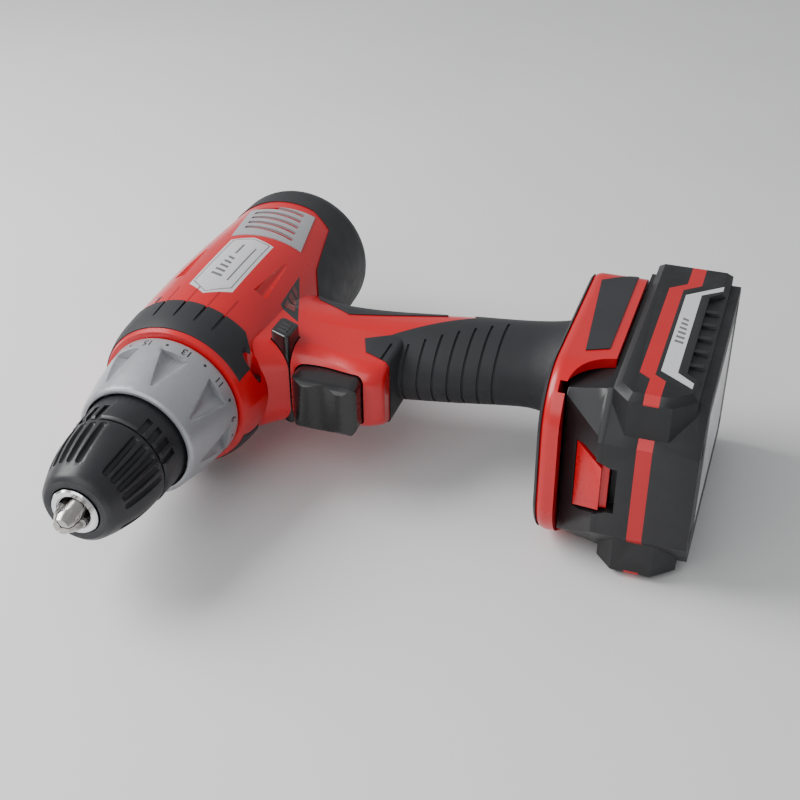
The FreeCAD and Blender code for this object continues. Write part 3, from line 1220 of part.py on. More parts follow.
def pack_nodes():
    """The battery pack: case, cover, cells, board, contacts, release button, screws and trims."""
    solid = union([pack_core(0.0, PACK_SPLIT), both_sides(pack_panel())])
    inner = union([pack_core(-1.0, PACK_SPLIT + 1.0, -TRIM_DEPTH), both_sides(pack_panel(-TRIM_DEPTH))])
    edge_cuts = both_sides(lower_edge_cut())
    pocket = latch_pocket()
    stripe = stripe_band().common(solid).cut(inner)
    badge = badge_plate()
    badges = both_sides(badge)

    half_room = CELL_LENGTH / 2.0 + 0.8
    room = union([
        pack_core(PACK_WALL, PACK_SPLIT + 1.0, -PACK_WALL),
        box(-half_room, half_room, SHOULDER_Y, PACK_REAR - 6.0, PACK_WALL, PACK_SPLIT + 1.0),
    ])
    latch_seat = box(-16.0, 16.0, PACK_FRONT + 1.0, CELL_FRONT, SPRING_FOOT - 2.0, PACK_SPLIT)
    screw_places = [(x, PACK_FRONT + 7.5) for x in (-17.5, 17.5)]
    screw_places += [(x, PACK_REAR - 8.0) for x in (-26.0, 26.0)]
    posts = [cyl_z(3.4, PACK_WALL / 2.0, PACK_SPLIT, x, y) for x, y in screw_places]
    holes = [cyl_z(1.7, -1.0, PACK_SPLIT + 1.0, x, y) for x, y in screw_places]
    recesses = [cyl_z(2.9, -1.0, PACK_SCREW_SEAT, x, y) for x, y in screw_places]
    label_bed = box(-24.0, 24.0, -28.0, 36.0, -1.0, LABEL_T)
    case = union([solid.cut(room), latch_seat, union(posts).common(solid)])
    case = case.cut(union(holes + recesses + [pocket, stripe, edge_cuts, label_bed, badges]))
    save("pack_case", case)
    save("pack_stripe", stripe.cut(union([pocket, edge_cuts])))
    label = box(-23.8, 23.8, -27.8, 35.8, 0.0, LABEL_T)
    save("pack_labels", Part.makeCompound([label, badge, mirrored(badge)]))

    save("pack_top_cover", pack_cover().cut(pocket))
    screws = []
    for x, y in screw_places:
        shank = cyl_z(1.45, PACK_SCREW_SEAT, PACK_SPLIT - 2.0, x, y)
        head = cyl_z(2.6, PACK_SCREW_SEAT - 2.0, PACK_SCREW_SEAT, x, y)
        slot = box(x - 1.6, x + 1.6, y - 0.3, y + 0.3, 1.0, PACK_SCREW_SEAT - 1.0)
        screws.append(union([shank, head]).cut(slot))
    save("pack_screws", Part.makeCompound(screws))

    first = CELL_FRONT + CELL_R
    height = PACK_WALL + CELL_R + 0.8
    end = CELL_LENGTH / 2.0
    cells = [cyl_x(CELL_R, -end, end, first + index * CELL_PITCH, height) for index in range(CELL_COUNT)]
    straps = []
    for index in range(CELL_COUNT - 1):
        y = first + index * CELL_PITCH
        strap = box(end, end + 0.3, y - 3.5, y + CELL_PITCH + 3.5, height - 3.5, height + 3.5)
        straps.append(strap if index % 2 == 0 else mirrored(strap))
    save("battery_cells", Part.makeCompound(cells + straps))

    low = height + CELL_R + 1.0
    board = box(-26.0, 26.0, -20.0, TOWER_REAR + 3.0, low, low + BOARD_T)
    blades = [box(x - 0.4, x + 0.4, 10.0, 25.0, low + BOARD_T, TOWER_TOP - 1.5) for x in CONTACT_PLACES]
    save("pack_board", Part.makeCompound([board] + blades))
    button_nodes()


def pack_cover():
    """The pack's cover: top plate, sloping front block and the rails that the foot holds."""
    plate = pack_core(PACK_SPLIT, PACK_TOP)
    low_half = PACK_CORE_HALF_WIDTH - 0.1
    high_half = PACK_CORE_HALF_WIDTH - 3.0
    low = [(low_half, BLOCK_REAR), (low_half, SHOULDER_Y), (NOSE_HALF_WIDTH, PACK_FRONT)]
    high = [(high_half, BLOCK_REAR), (high_half, SHOULDER_Y + 0.5), (high_half - 1.5, SHOULDER_Y - 1.5)]
    wires = []
    for z, half_outline in ((PACK_SPLIT, low), (TOWER_TOP, high)):
        outline = half_outline + [(-x, y) for x, y in reversed(half_outline)]
        points = [Vector(x, y, z) for x, y in outline]
        wires.append(Part.makePolygon(points + [points[0]]))
    block = Part.makeLoft(wires, True, True)
    front = BLOCK_REAR - 1.0
    web = box(-TOWER_HALF_WIDTH, TOWER_HALF_WIDTH, front, TOWER_REAR, PACK_SPLIT, RAIL_TOP)
    rails = box(-RAIL_HALF_WIDTH, RAIL_HALF_WIDTH, front, TOWER_REAR, RAIL_BOTTOM, RAIL_TOP)
    hump = box(-16.0, 16.0, front, 6.0, RAIL_TOP - 0.5, TOWER_TOP)
    ceiling = RAIL_TOP - 2.2
    room = box(-22.0, 22.0, -20.0, TOWER_REAR - 2.5, PACK_SPLIT - 1.0, ceiling)
    front_room = box(-24.0, 24.0, -33.0, -19.0, PACK_SPLIT - 1.0, ceiling)
    contact_well = box(-12.6, 12.6, 7.0, TOWER_REAR + 3.0, FOOT_TOP - 14.0, FOOT_TOP)
    cover = union([plate, block, web, rails, hump])
    return cover.cut(union([room, front_room, contact_well]))


def latch_pocket():
    """The recess in the pack's front for the release button, its hook and its spring."""
    front = PACK_FRONT - 5.0
    floor = BUTTON_LOW - BUTTON_TRAVEL - GAP
    low_half = BUTTON_LOW_HALF + 0.4
    high_half = BUTTON_HIGH_HALF + 0.4
    recess = prism_y([
        (-high_half, BUTTON_HIGH + GAP), (high_half, BUTTON_HIGH + GAP),
        (high_half, BUTTON_HIGH - BUTTON_TRAVEL - GAP), (low_half, floor),
        (-low_half, floor), (-high_half, BUTTON_HIGH - BUTTON_TRAVEL - GAP),
    ], front, POCKET_BACK)
    skirt_room = box(-low_half, low_half, front, SKIRT_BACK + 0.2, floor - BUTTON_TRAVEL, floor + 1.0)
    hook_floor = HOOK_LOW - BUTTON_TRAVEL - GAP
    side = HOOK_HALF_WIDTH + GAP
    rear = HOOK_REAR + GAP
    stem_room = box(-side, side, POCKET_BACK - 1.0, rear, hook_floor, HOOK_LOW + 4.0 + GAP)
    hook_room = box(-side, side, HOOK_FRONT - GAP, rear, hook_floor, TOWER_TOP + 1.0)
    spring_room = cyl_z(SPRING_ROOM_R, SPRING_FOOT, floor + 1.0, 0.0, SPRING_Y)
    return union([recess, skirt_room, stem_room, hook_room, spring_room])


def button_nodes():
    """The release button with its skirt and hook, and the spring under it."""
    front = PACK_FRONT - 0.2
    body = prism_y([
        (-BUTTON_HIGH_HALF, BUTTON_HIGH), (BUTTON_HIGH_HALF, BUTTON_HIGH),
        (BUTTON_LOW_HALF, BUTTON_LOW), (-BUTTON_LOW_HALF, BUTTON_LOW),
    ], front - 5.0, POCKET_BACK - GAP)
    slope = prism_x([
        (POCKET_BACK, BUTTON_HIGH + 1.0), (front + 6.8, BUTTON_HIGH + 1.0), (front + 6.8, BUTTON_HIGH),
        (front, BUTTON_LOW), (POCKET_BACK, BUTTON_LOW),
    ], -FAR, FAR)
    half = BUTTON_LOW_HALF
    skirt = box(-half, half, front + 2.0, SKIRT_BACK, BUTTON_LOW - BUTTON_TRAVEL, BUTTON_LOW + 1.0)
    half = HOOK_HALF_WIDTH
    stem = box(-half, half, POCKET_BACK - 1.0, HOOK_REAR, HOOK_LOW, HOOK_LOW + 4.0)
    hook = box(-half, half, HOOK_FRONT, HOOK_REAR, HOOK_LOW, VISOR_BOTTOM - 0.9)
    spring_top = BUTTON_LOW + 5.6
    spring_hole = cyl_z(SPRING_ROOM_R, BUTTON_LOW - 1.0, spring_top, 0.0, SPRING_Y)
    save("release_button", union([body.common(slope), skirt, stem, hook]).cut(spring_hole))
    coil = spring_y(SPRING_ROOM_R - 0.8, 0.35, 0.0, spring_top - SPRING_FOOT, 7.0, 0.0)
    coil.rotate(Vector(0, 0, 0), Vector(1, 0, 0), 90)
    coil.translate(Vector(0, SPRING_Y, SPRING_FOOT))
    save("release_spring", coil)


gearbox_nodes()
motor_nodes()
clutch_nodes()
chuck_nodes()
trigger_nodes()
selector_node()
electric_nodes()
pack_nodes()
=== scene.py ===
import json
import math

import bmesh
import bpy
from mathutils import Matrix, Vector
from mathutils.bvhtree import BVHTree


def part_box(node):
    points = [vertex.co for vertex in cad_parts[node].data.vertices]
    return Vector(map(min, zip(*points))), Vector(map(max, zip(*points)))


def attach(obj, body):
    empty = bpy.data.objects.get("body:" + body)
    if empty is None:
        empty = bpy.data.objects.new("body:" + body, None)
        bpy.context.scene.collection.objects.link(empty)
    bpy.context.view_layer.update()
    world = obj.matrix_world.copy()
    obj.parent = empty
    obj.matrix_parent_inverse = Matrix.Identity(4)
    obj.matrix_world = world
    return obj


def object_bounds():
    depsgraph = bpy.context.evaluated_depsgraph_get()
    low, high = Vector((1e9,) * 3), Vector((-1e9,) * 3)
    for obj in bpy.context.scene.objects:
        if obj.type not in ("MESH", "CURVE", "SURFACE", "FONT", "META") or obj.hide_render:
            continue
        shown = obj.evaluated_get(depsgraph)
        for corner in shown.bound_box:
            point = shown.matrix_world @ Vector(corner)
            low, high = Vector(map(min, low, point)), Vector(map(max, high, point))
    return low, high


# Looks of the cordless drill: materials, small raised and printed details, floor, light and camera.
# Everything is in metres in the part's own frame: +Z up, -Y towards the chuck, +X the operator's left.

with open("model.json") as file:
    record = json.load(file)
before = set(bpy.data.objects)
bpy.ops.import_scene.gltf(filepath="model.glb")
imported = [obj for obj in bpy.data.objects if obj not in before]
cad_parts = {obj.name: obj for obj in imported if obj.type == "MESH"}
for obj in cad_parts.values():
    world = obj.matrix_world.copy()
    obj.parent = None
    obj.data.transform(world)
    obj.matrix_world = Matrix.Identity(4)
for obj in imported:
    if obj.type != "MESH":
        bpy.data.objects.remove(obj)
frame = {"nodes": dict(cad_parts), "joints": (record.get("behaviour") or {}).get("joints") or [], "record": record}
cad_low, cad_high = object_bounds()
nodes = frame["nodes"]
joints = {joint["name"]: joint for joint in frame["joints"]}

MM = 0.001
AXIS_Z = joints["chuck_spin"]["pos_m"][2]
MIDDLE = (cad_low + cad_high) / 2.0


# ---------------------------------------------------------------- materials
def new_material(name):
    """An empty node material and its parts."""
    material = bpy.data.materials.new(name)
    material.use_nodes = True
    tree = material.node_tree
    shader = tree.nodes["Principled BSDF"]
    place = tree.nodes.new("ShaderNodeTexCoord")
    return material, tree, shader, place.outputs["Object"]


def noise(tree, place, scale, detail=3.0, stretch=(1.0, 1.0, 1.0)):
    """A noise value in object space; stretch squeezes it along an axis."""
    mapping = tree.nodes.new("ShaderNodeMapping")
    mapping.inputs["Scale"].default_value = stretch
    texture = tree.nodes.new("ShaderNodeTexNoise")
    texture.inputs["Scale"].default_value = scale
    texture.inputs["Detail"].default_value = detail
    tree.links.new(place, mapping.inputs["Vector"])
    tree.links.new(mapping.outputs["Vector"], texture.inputs["Vector"])
    return texture.outputs["Fac"]


def spread(tree, value, low, high, start=0.3, end=0.7):
    """Maps a value from start..end to low..high."""
    node = tree.nodes.new("ShaderNodeMapRange")
    node.inputs["From Min"].default_value = start
    node.inputs["From Max"].default_value = end
    node.inputs["To Min"].default_value = low
    node.inputs["To Max"].default_value = high
    tree.links.new(value, node.inputs["Value"])
    return node.outputs["Result"]


def blend_colours(tree, factor, first, second):
    """A mix of two colours, either of which may be a socket."""
    mix = tree.nodes.new("ShaderNodeMix")
    mix.data_type = "RGBA"
    sockets = [socket for socket in mix.inputs if socket.type == "RGBA"]
    for socket, colour in zip(sockets, (first, second)):
        if isinstance(colour, bpy.types.NodeSocket):
            tree.links.new(colour, socket)
        else:
            socket.default_value = (*colour, 1.0)
    tree.links.new(factor, mix.inputs["Factor"])
    return [socket for socket in mix.outputs if socket.type == "RGBA"][0]


def worn_edges(tree, colour, worn, amount):
    """Lightens the colour a little where the surface turns sharply outwards."""
    geometry = tree.nodes.new("ShaderNodeNewGeometry")
    edge = spread(tree, geometry.outputs["Pointiness"], 0.0, amount, 0.53, 0.62)
    return blend_colours(tree, edge, colour, worn)


def add_bump(tree, shader, layers):
    """Stacks bump layers of (height value, strength, distance) into the shader's normal."""
    normal = None
    for height, strength, distance in layers:
        bump = tree.nodes.new("ShaderNodeBump")
        bump.inputs["Strength"].default_value = strength
        bump.inputs["Distance"].default_value = distance
        tree.links.new(height, bump.inputs["Height"])
        if normal is not None:
            tree.links.new(normal, bump.inputs["Normal"])
        normal = bump.outputs["Normal"]
    tree.links.new(normal, shader.inputs["Normal"])


def moulded(name, colour, roughness, grain=1800.0, grain_depth=0.05, mottle=0.10, coat=0.0, edge=0.25,
            sheen=0.0):
    """Moulded plastic or rubber: fine spark-eroded grain, faint mottling, uneven gloss, paler edges."""
    material, tree, shader, place = new_material(name)
    dark = tuple(channel * (1.0 - mottle) for channel in colour)
    light = tuple(min(1.0, channel * (1.0 + mottle)) for channel in colour)
    base = blend_colours(tree, spread(tree, noise(tree, place, 45.0), 0.0, 1.0), dark, light)
    worn = tuple(min(1.0, channel * 1.5 + 0.015) for channel in colour)
    tree.links.new(worn_edges(tree, base, worn, edge), shader.inputs["Base Color"])
    gloss = spread(tree, noise(tree, place, 160.0, 4.0), roughness - 0.05, roughness + 0.06)
    tree.links.new(gloss, shader.inputs["Roughness"])
    shader.inputs["Coat Weight"].default_value = coat
    shader.inputs["Coat Roughness"].default_value = 0.12
    shader.inputs["Sheen Weight"].default_value = sheen
    fine = noise(tree, place, grain, 2.0)
    broad = noise(tree, place, 60.0, 2.0)
    add_bump(tree, shader, [(broad, 0.03, 0.15 * MM), (fine, grain_depth * 4.0, 0.08 * MM)])
    return material


def metal(name, colour, roughness, lines=(1.0, 1.0, 1.0), depth=0.12):
    """Bare or plated metal with fine machining lines and uneven polish."""
    material, tree, shader, place = new_material(name)
    shader.inputs["Metallic"].default_value = 1.0
    brushed = noise(tree, place, 900.0, 3.0, lines)
    dark = tuple(channel * 0.78 for channel in colour)
    base = blend_colours(tree, spread(tree, noise(tree, place, 120.0), 0.0, 1.0), dark, colour)
    worn = tuple(min(1.0, channel * 1.25) for channel in colour)
    tree.links.new(worn_edges(tree, base, worn, 0.5), shader.inputs["Base Color"])
    tree.links.new(spread(tree, brushed, roughness * 0.75, roughness * 1.35), shader.inputs["Roughness"])
    add_bump(tree, shader, [(brushed, depth, 0.05 * MM)])
    return material


def satin_paint(name, colour, roughness, metallic):
    """Silver paint: fine metallic flake under a satin coat."""
    material, tree, shader, place = new_material(name)
    flake = noise(tree, place, 5200.0, 1.0)
    dark = tuple(channel * 0.86 for channel in colour)
    light = tuple(min(1.0, channel * 1.10) for channel in colour)
    base = blend_colours(tree, spread(tree, flake, 0.0, 1.0, 0.35, 0.65), dark, light)
    soiled = blend_colours(tree, spread(tree, noise(tree, place, 70.0, 4.0), 0.0, 0.10, 0.45, 0.75), base,
                           (0.22, 0.21, 0.20))
    tree.links.new(soiled, shader.inputs["Base Color"])
    tree.links.new(spread(tree, noise(tree, place, 200.0, 3.0), roughness - 0.05, roughness + 0.06),
                   shader.inputs["Roughness"])
    shader.inputs["Metallic"].default_value = metallic
    shader.inputs["Coat Weight"].default_value = 0.25
    shader.inputs["Coat Roughness"].default_value = 0.25
    add_bump(tree, shader, [(flake, 0.10, 0.03 * MM), (noise(tree, place, 90.0, 2.0), 0.05, 0.3 * MM)])
    return material


def printed(name, colour, roughness=0.4):
    """A thin printed or painted mark with slightly uneven ink."""
    material, tree, shader, place = new_material(name)
    thin = tuple(channel * 0.7 + 0.02 for channel in colour)
    ink = spread(tree, noise(tree, place, 900.0, 3.0), 0.0, 1.0, 0.35, 0.7)
    tree.links.new(blend_colours(tree, ink, thin, colour), shader.inputs["Base Color"])
    tree.links.new(spread(tree, noise(tree, place, 400.0), roughness - 0.05, roughness + 0.08),
                   shader.inputs["Roughness"])
    add_bump(tree, shader, [(noise(tree, place, 1500.0), 0.08, 0.02 * MM)])
    return material


ALONG_AXIS = (1.0, 0.03, 1.0)
ROUND_AXIS = (0.06, 1.0, 0.06)

MATERIALS = {
    "red_plastic": moulded("red_plastic", (0.60, 0.0035, 0.009), 0.32, 1500.0, 0.010, 0.05, coat=0.30,
                           edge=0.08),
    "dark_rubber": moulded("dark_rubber", (0.015, 0.016, 0.019), 0.60, 2600.0, 0.11, 0.16, edge=0.25,
                           sheen=0.03),
    "silver_trim": satin_paint("silver_trim", (0.66, 0.66, 0.68), 0.34, 0.10),
    "silver_grille": satin_paint("silver_grille", (0.46, 0.46, 0.48), 0.36, 0.30),
    "window_black": moulded("window_black", (0.010, 0.010, 0.012), 0.14, 1200.0, 0.008, 0.10, coat=0.6,
                            edge=0.1),
    "screw_steel": metal("screw_steel", (0.20, 0.20, 0.21), 0.38),
    "gearbox_aluminium": metal("gearbox_aluminium", (0.62, 0.63, 0.65), 0.45),
    "gear_steel": metal("gear_steel", (0.52, 0.52, 0.54), 0.30, ROUND_AXIS),
    "bronze": metal("bronze", (0.62, 0.42, 0.20), 0.38, ROUND_AXIS),
    "gear_nylon": moulded("gear_nylon", (0.72, 0.70, 0.62), 0.45, 1600.0, 0.04),
    "motor_steel": metal("motor_steel", (0.42, 0.43, 0.46), 0.32, ROUND_AXIS),
    "motor_plastic": moulded("motor_plastic", (0.02, 0.02, 0.023), 0.45),
    "spring_steel": metal("spring_steel", (0.48, 0.48, 0.50), 0.28),
    "collar_grey": satin_paint("collar_grey", (0.38, 0.385, 0.41), 0.36, 0.38),
    "chuck_plastic": moulded("chuck_plastic", (0.016, 0.0165, 0.019), 0.40, 2200.0, 0.05, 0.14, edge=0.35),
    "chrome_ring": metal("chrome_ring", (0.78, 0.78, 0.80), 0.14, ROUND_AXIS, 0.05),
    "jaw_steel": metal("jaw_steel", (0.50, 0.48, 0.45), 0.24, ALONG_AXIS),
    "control_black": moulded("control_black", (0.007, 0.007, 0.008), 0.27, 2200.0, 0.02, 0.10, coat=0.30,
                             edge=0.12),
    "wire_insulation": moulded("wire_insulation", (0.45, 0.02, 0.02), 0.40),
    "pack_black": moulded("pack_black", (0.009, 0.0095, 0.011), 0.50, 2000.0, 0.10, 0.14, edge=0.30),
    "pack_cover_black": moulded("pack_cover_black", (0.009, 0.0095, 0.011), 0.38, 2000.0, 0.05, 0.12,
                                edge=0.30),
    "pack_red": moulded("pack_red", (0.52, 0.004, 0.009), 0.38, 1800.0, 0.03, 0.05, coat=0.15, edge=0.08),
    "label_silver": satin_paint("label_silver", (0.68, 0.68, 0.70), 0.36, 0.05),
    "cell_wrap": moulded("cell_wrap", (0.05, 0.30, 0.27), 0.30),
    "board_green": moulded("board_green", (0.01, 0.13, 0.05), 0.40),
    "button_red": moulded("button_red", (0.56, 0.003, 0.008), 0.28, 1600.0, 0.012, 0.05, coat=0.35,
                          edge=0.10),
}
INK_BLACK = printed("ink_black", (0.012, 0.012, 0.013))
INK_GREY = printed("ink_grey", (0.16, 0.16, 0.17))
DULL_RED = moulded("dull_red_light", (0.16, 0.02, 0.02), 0.22, coat=0.5)
DEEP_RED = moulded("deep_red", (0.36, 0.004, 0.009), 0.40, edge=0.05)
# Near-black marks with no recess behind them: painted shade of the slits in the handle's rubber.
PAINTED_SLIT_SHADE = moulded("painted_slit_shade", (0.006, 0.006, 0.006), 0.70)

SHARP_ANGLE = math.radians(32.0)     # edges that turn more than this are rounded
FLAT_ANGLE = math.radians(0.5)       # faces that turn less than this are one face
WELD_GAP = 0.002 * MM
# Radius in millimetres of the rounded edges of the pieces that show them.
EDGE_ROUND = {
    "pack_case": 0.45, "pack_top_cover": 0.6, "release_button": 0.5, "direction_selector": 0.3,
    "chuck_rear_sleeve": 0.25, "torque_collar": 0.3, "chuck_front_sleeve": 0.25, "chuck_body": 0.2,
}


def dress_nodes():
    """Gives every CAD node its slot's material and, where it shows, smooth shading and rounded edges."""
    slots = {part["node"]: part["material_slot"] for part in frame["record"]["subparts"]}
    for name, thing in nodes.items():
        thing.data.materials.clear()
        thing.data.materials.append(MATERIALS[slots[name]])
        if name in EDGE_ROUND:
            thing.data.shade_smooth()
            weld = thing.modifiers.new("join", "WELD")
            weld.merge_threshold = WELD_GAP
            flat = thing.modifiers.new("flat", "DECIMATE")
            flat.decimate_type = "DISSOLVE"
            flat.angle_limit = FLAT_ANGLE
            round_off = thing.modifiers.new("round", "BEVEL")
            round_off.width = EDGE_ROUND[name] * MM
            round_off.segments = 2
            round_off.limit_method = "ANGLE"
            round_off.angle_limit = SHARP_ANGLE
            round_off.harden_normals = True


dress_nodes()


# ---------------------------------------------------------------- pieces laid on the surface
def tree_of(names):
    """A search tree of the faces of some CAD nodes."""
    points = []
    faces = []
    for name in names:
        first = len(points)
        mesh = nodes[name].data
        points += [vertex.co.copy() for vertex in mesh.vertices]
        faces += [[first + index for index in face.vertices] for face in mesh.polygons]
    return BVHTree.FromPolygons(points, faces)


def from_side(tree, side):
    """Places (y, z) in millimetres on the surface seen from one side of the tool."""
    def place(u, v):
        hit, normal, _, _ = tree.ray_cast(Vector((side * 0.3, u * MM, v * MM)), Vector((-side, 0.0, 0.0)))
        return hit, normal
    return place


def from_around(tree, y, degrees, radius):
    """Places (across, along) in millimetres round a point at y and an angle from the top towards +X.

    Across runs against the angle and along runs towards the chuck, as print on the collar is read."""
    def place(u, v):
        turn = math.radians(degrees) - u / radius
        outward = Vector((math.sin(turn), 0.0, math.cos(turn)))
        middle = Vector((0.0, (y - v) * MM, AXIS_Z))
        hit, normal, _, _ = tree.ray_cast(middle + outward * 0.12, -outward)
        return hit, normal
    return place


def from_below(tree):
    """Places (x, y) in millimetres on the surface seen from below."""
    def place(u, v):
        hit, normal, _, _ = tree.ray_cast(Vector((u * MM, v * MM, -0.2)), Vector((0.0, 0.0, 1.0)))
        return hit, normal
    return place


LONGEST_EDGE = 1.2           # millimetres, so that flat marks follow a curved surface


def shapes(outlines, longest=LONGEST_EDGE):
    """Outlines of (u, v) points in millimetres, filled and cut into short edges."""
    mesh = bmesh.new()
    for outline in outlines:
        mesh.faces.new([mesh.verts.new((u, v, 0.0)) for u, v in outline])
    return cut_up(mesh, longest)


def cut_up(mesh, longest):
    """Triangulates a flat mesh and divides its edges until none is longer than a length."""
    bmesh.ops.triangulate(mesh, faces=mesh.faces[:])
    long_edges = [edge for edge in mesh.edges if edge.calc_length() > longest]
    while long_edges:
        bmesh.ops.subdivide_edges(mesh, edges=long_edges, cuts=1)
        bmesh.ops.triangulate(mesh, faces=mesh.faces[:])
        long_edges = [edge for edge in mesh.edges if edge.calc_length() > longest]
    return mesh


DIGIT_SHARE = 0.70           # height of a digit as a share of the letter size


def digits(text, height):
    """A number as a flat mesh in millimetres, centred on the origin."""
    curve = bpy.data.curves.new("digits", "FONT")
    curve.body = text
    curve.size = height / DIGIT_SHARE
    curve.offset = 0.05
    curve.align_x = "CENTER"
    curve.align_y = "CENTER"
    writer = bpy.data.objects.new("digits", curve)
    bpy.context.scene.collection.objects.link(writer)
    bpy.context.view_layer.update()
    drawn = bpy.data.meshes.new_from_object(writer.evaluated_get(bpy.context.evaluated_depsgraph_get()))
    mesh = bmesh.new()
    mesh.from_mesh(drawn)
    bmesh.ops.remove_doubles(mesh, verts=mesh.verts[:], dist=0.001)
    bpy.data.objects.remove(writer)
    bpy.data.curves.remove(curve)
    bpy.data.meshes.remove(drawn)
    return cut_up(mesh, LONGEST_EDGE)


def disc(radius, count=16):
    """A round outline about the origin."""
    turns = [math.tau * index / count for index in range(count)]
    return [(radius * math.cos(turn), radius * math.sin(turn)) for turn in turns]


def bar(u, v, width, height, slant=0.0):
    """A four-sided outline about a point, its top pushed sideways by slant."""
    half, rise = width / 2.0, height / 2.0
    return [(u - half - slant, v - rise), (u + half - slant, v - rise), (u + half + slant, v + rise),
            (u - half + slant, v + rise)]


def border(outline, inset, width):
    """A thin closed line inside an outline, as four-sided pieces."""
    us = [u for u, _ in outline]
    vs = [v for _, v in outline]
    middle_u, middle_v = (min(us) + max(us)) / 2.0, (min(vs) + max(vs)) / 2.0
    half_u, half_v = (max(us) - min(us)) / 2.0, (max(vs) - min(vs)) / 2.0

    def shrunk(by):
        return [(middle_u + (u - middle_u) * (1.0 - by / half_u),
                 middle_v + (v - middle_v) * (1.0 - by / half_v)) for u, v in outline]

    outer, inner = shrunk(inset), shrunk(inset + width)
    count = len(outline)
    return [[outer[i], outer[(i + 1) % count], inner[(i + 1) % count], inner[i]] for i in range(count)]


def wrap(solid, flat, place, proud, sunk):
    """Adds a flat mesh to a solid as a thin closed skin, wrapped on a surface by a placing function."""
    tops, lows, points, normals = {}, {}, {}, {}
    for vertex in flat.verts:
        hit, normal = place(vertex.co.x, vertex.co.y)
        points[vertex], normals[vertex] = hit, normal
        tops[vertex] = solid.verts.new(hit + normal * (proud * MM))
        lows[vertex] = solid.verts.new(hit - normal * (sunk * MM))
    for face in flat.faces:
        corners = list(face.verts)
        turn = (points[corners[1]] - points[corners[0]]).cross(points[corners[2]] - points[corners[0]])
        if turn.dot(normals[corners[0]]) < 0.0:
            corners.reverse()
        solid.faces.new([tops[corner] for corner in corners])
        solid.faces.new([lows[corner] for corner in reversed(corners)])
        for index, corner in enumerate(corners):
            after = corners[(index + 1) % len(corners)]
            edge = flat.edges.get((corner, after))
            if len(edge.link_faces) == 1:
                solid.faces.new([tops[after], tops[corner], lows[corner], lows[after]])
    flat.free()


def piece(name, parts, body, material, proud, sunk=0.30):
    """One object made of flat meshes, each with its placing function, that moves with a body."""
    solid = bmesh.new()
    for flat, place in parts:
        wrap(solid, flat, place, proud, sunk)
    data = bpy.data.meshes.new(name)
    solid.to_mesh(data)
    solid.free()
    thing = bpy.data.objects.new(name, data)
    bpy.context.scene.collection.objects.link(thing)
    data.materials.append(material)
    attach(thing, body)


COLLAR_POSITIONS = 21
COLLAR_FIRST = 318.0         # angle of the lowest setting, in degrees from the top towards +X
COLLAR_MARK_Y = -49.2
COLLAR_MARK_R = 27.4
COLLAR_DIGIT_HEIGHT = 3.0
COLLAR_DOT_R = 0.62


def collar_marks():
    """Settings round the torque collar: odd numbers with dots between them, and a drill sign."""
    tree = tree_of(["torque_collar"])
    parts = []
    for index in range(COLLAR_POSITIONS):
        angle = COLLAR_FIRST - 360.0 * index / COLLAR_POSITIONS
        place = from_around(tree, COLLAR_MARK_Y, angle, COLLAR_MARK_R)
        if index == COLLAR_POSITIONS - 1:
            drill = [bar(0.0, -0.6, 1.1, 2.4), [(-0.55, 0.6), (0.55, 0.6), (0.0, 2.0)]]
            parts.append((shapes(drill), place))
        elif index % 2 == 0:
            parts.append((digits(str(index + 1), COLLAR_DIGIT_HEIGHT), place))
        else:
            parts.append((shapes([disc(COLLAR_DOT_R)]), place))
    piece("collar_marks", parts, "torque_collar", INK_BLACK, 0.04)


BAND_LINE_ANGLES = (72.0, 88.0, 103.0, 117.0)
BAND_LINE_Y = -20.0
POINTER_Y = -22.5
POINTER_ANGLE = 61.0
BARREL_MARK_R = 32.0
HOUSING_TREE = tree_of(["housing_left", "housing_right", "nameplates", "nose_band_left", "nose_band_right",
                        "vent_grille_left", "vent_grille_right", "rear_bumper_left", "rear_bumper_right"])


def barrel_marks():
    """Thin lines that run back from the nose band's grooves, and the collar's pointer."""
    lines = []
    for side in (1.0, -1.0):
        for angle in BAND_LINE_ANGLES:
            place = from_around(HOUSING_TREE, BAND_LINE_Y, side * angle, BARREL_MARK_R)
            lines.append((shapes([bar(0.0, 0.0, 0.45, 10.6)]), place))
    piece("barrel_lines", lines, "housing", DEEP_RED, 0.06)
    pointer = [(-0.8, -2.4), (0.8, -2.4), (0.8, 1.2), (0.0, 2.6), (-0.8, 1.2)]
    place = from_around(HOUSING_TREE, POINTER_Y, POINTER_ANGLE, BARREL_MARK_R)
    piece("collar_pointer", [(shapes([pointer]), place)], "housing", INK_BLACK, 0.06)


def nameplate_marks():
    """Plain bars and a border on the bright plates, in place of any name."""
    low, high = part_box("nameplates")
    middle_y = (low.y + high.y) / 2.0 / MM
    middle_z = (low.z + high.z) / 2.0 / MM
    half_y = (high.y - low.y) / 2.0 / MM
    half_z = (high.z - low.z) / 2.0 / MM
    outline = [(middle_y - 0.72 * half_y, middle_z + half_z), (middle_y - half_y, middle_z),
               (middle_y - 0.68 * half_y, middle_z - half_z), (middle_y + 0.94 * half_y, middle_z - half_z),
               (middle_y + half_y, middle_z), (middle_y + 0.88 * half_y, middle_z + half_z)]
    for side, name in ((1.0, "left"), (-1.0, "right")):
        place = from_side(HOUSING_TREE, side)
        edge_line = shapes(border(outline, 1.3, 0.35))
        piece("nameplate_border_" + name, [(edge_line, place)], "housing", INK_GREY, 0.04)
        bars = [bar(middle_y - 9.0 + 3.4 * step, middle_z + 1.4, 1.5, 5.0 - 0.5 * step, 0.7)
                for step in range(5)]
        bars.append(bar(middle_y + 12.5, middle_z + 1.4, 8.0, 0.9))
        bars.append(bar(middle_y + 2.0, middle_z - 4.2, 27.0, 0.6))
        piece("nameplate_bars_" + name, [(shapes(bars), place)], "housing", INK_GREY, 0.04)


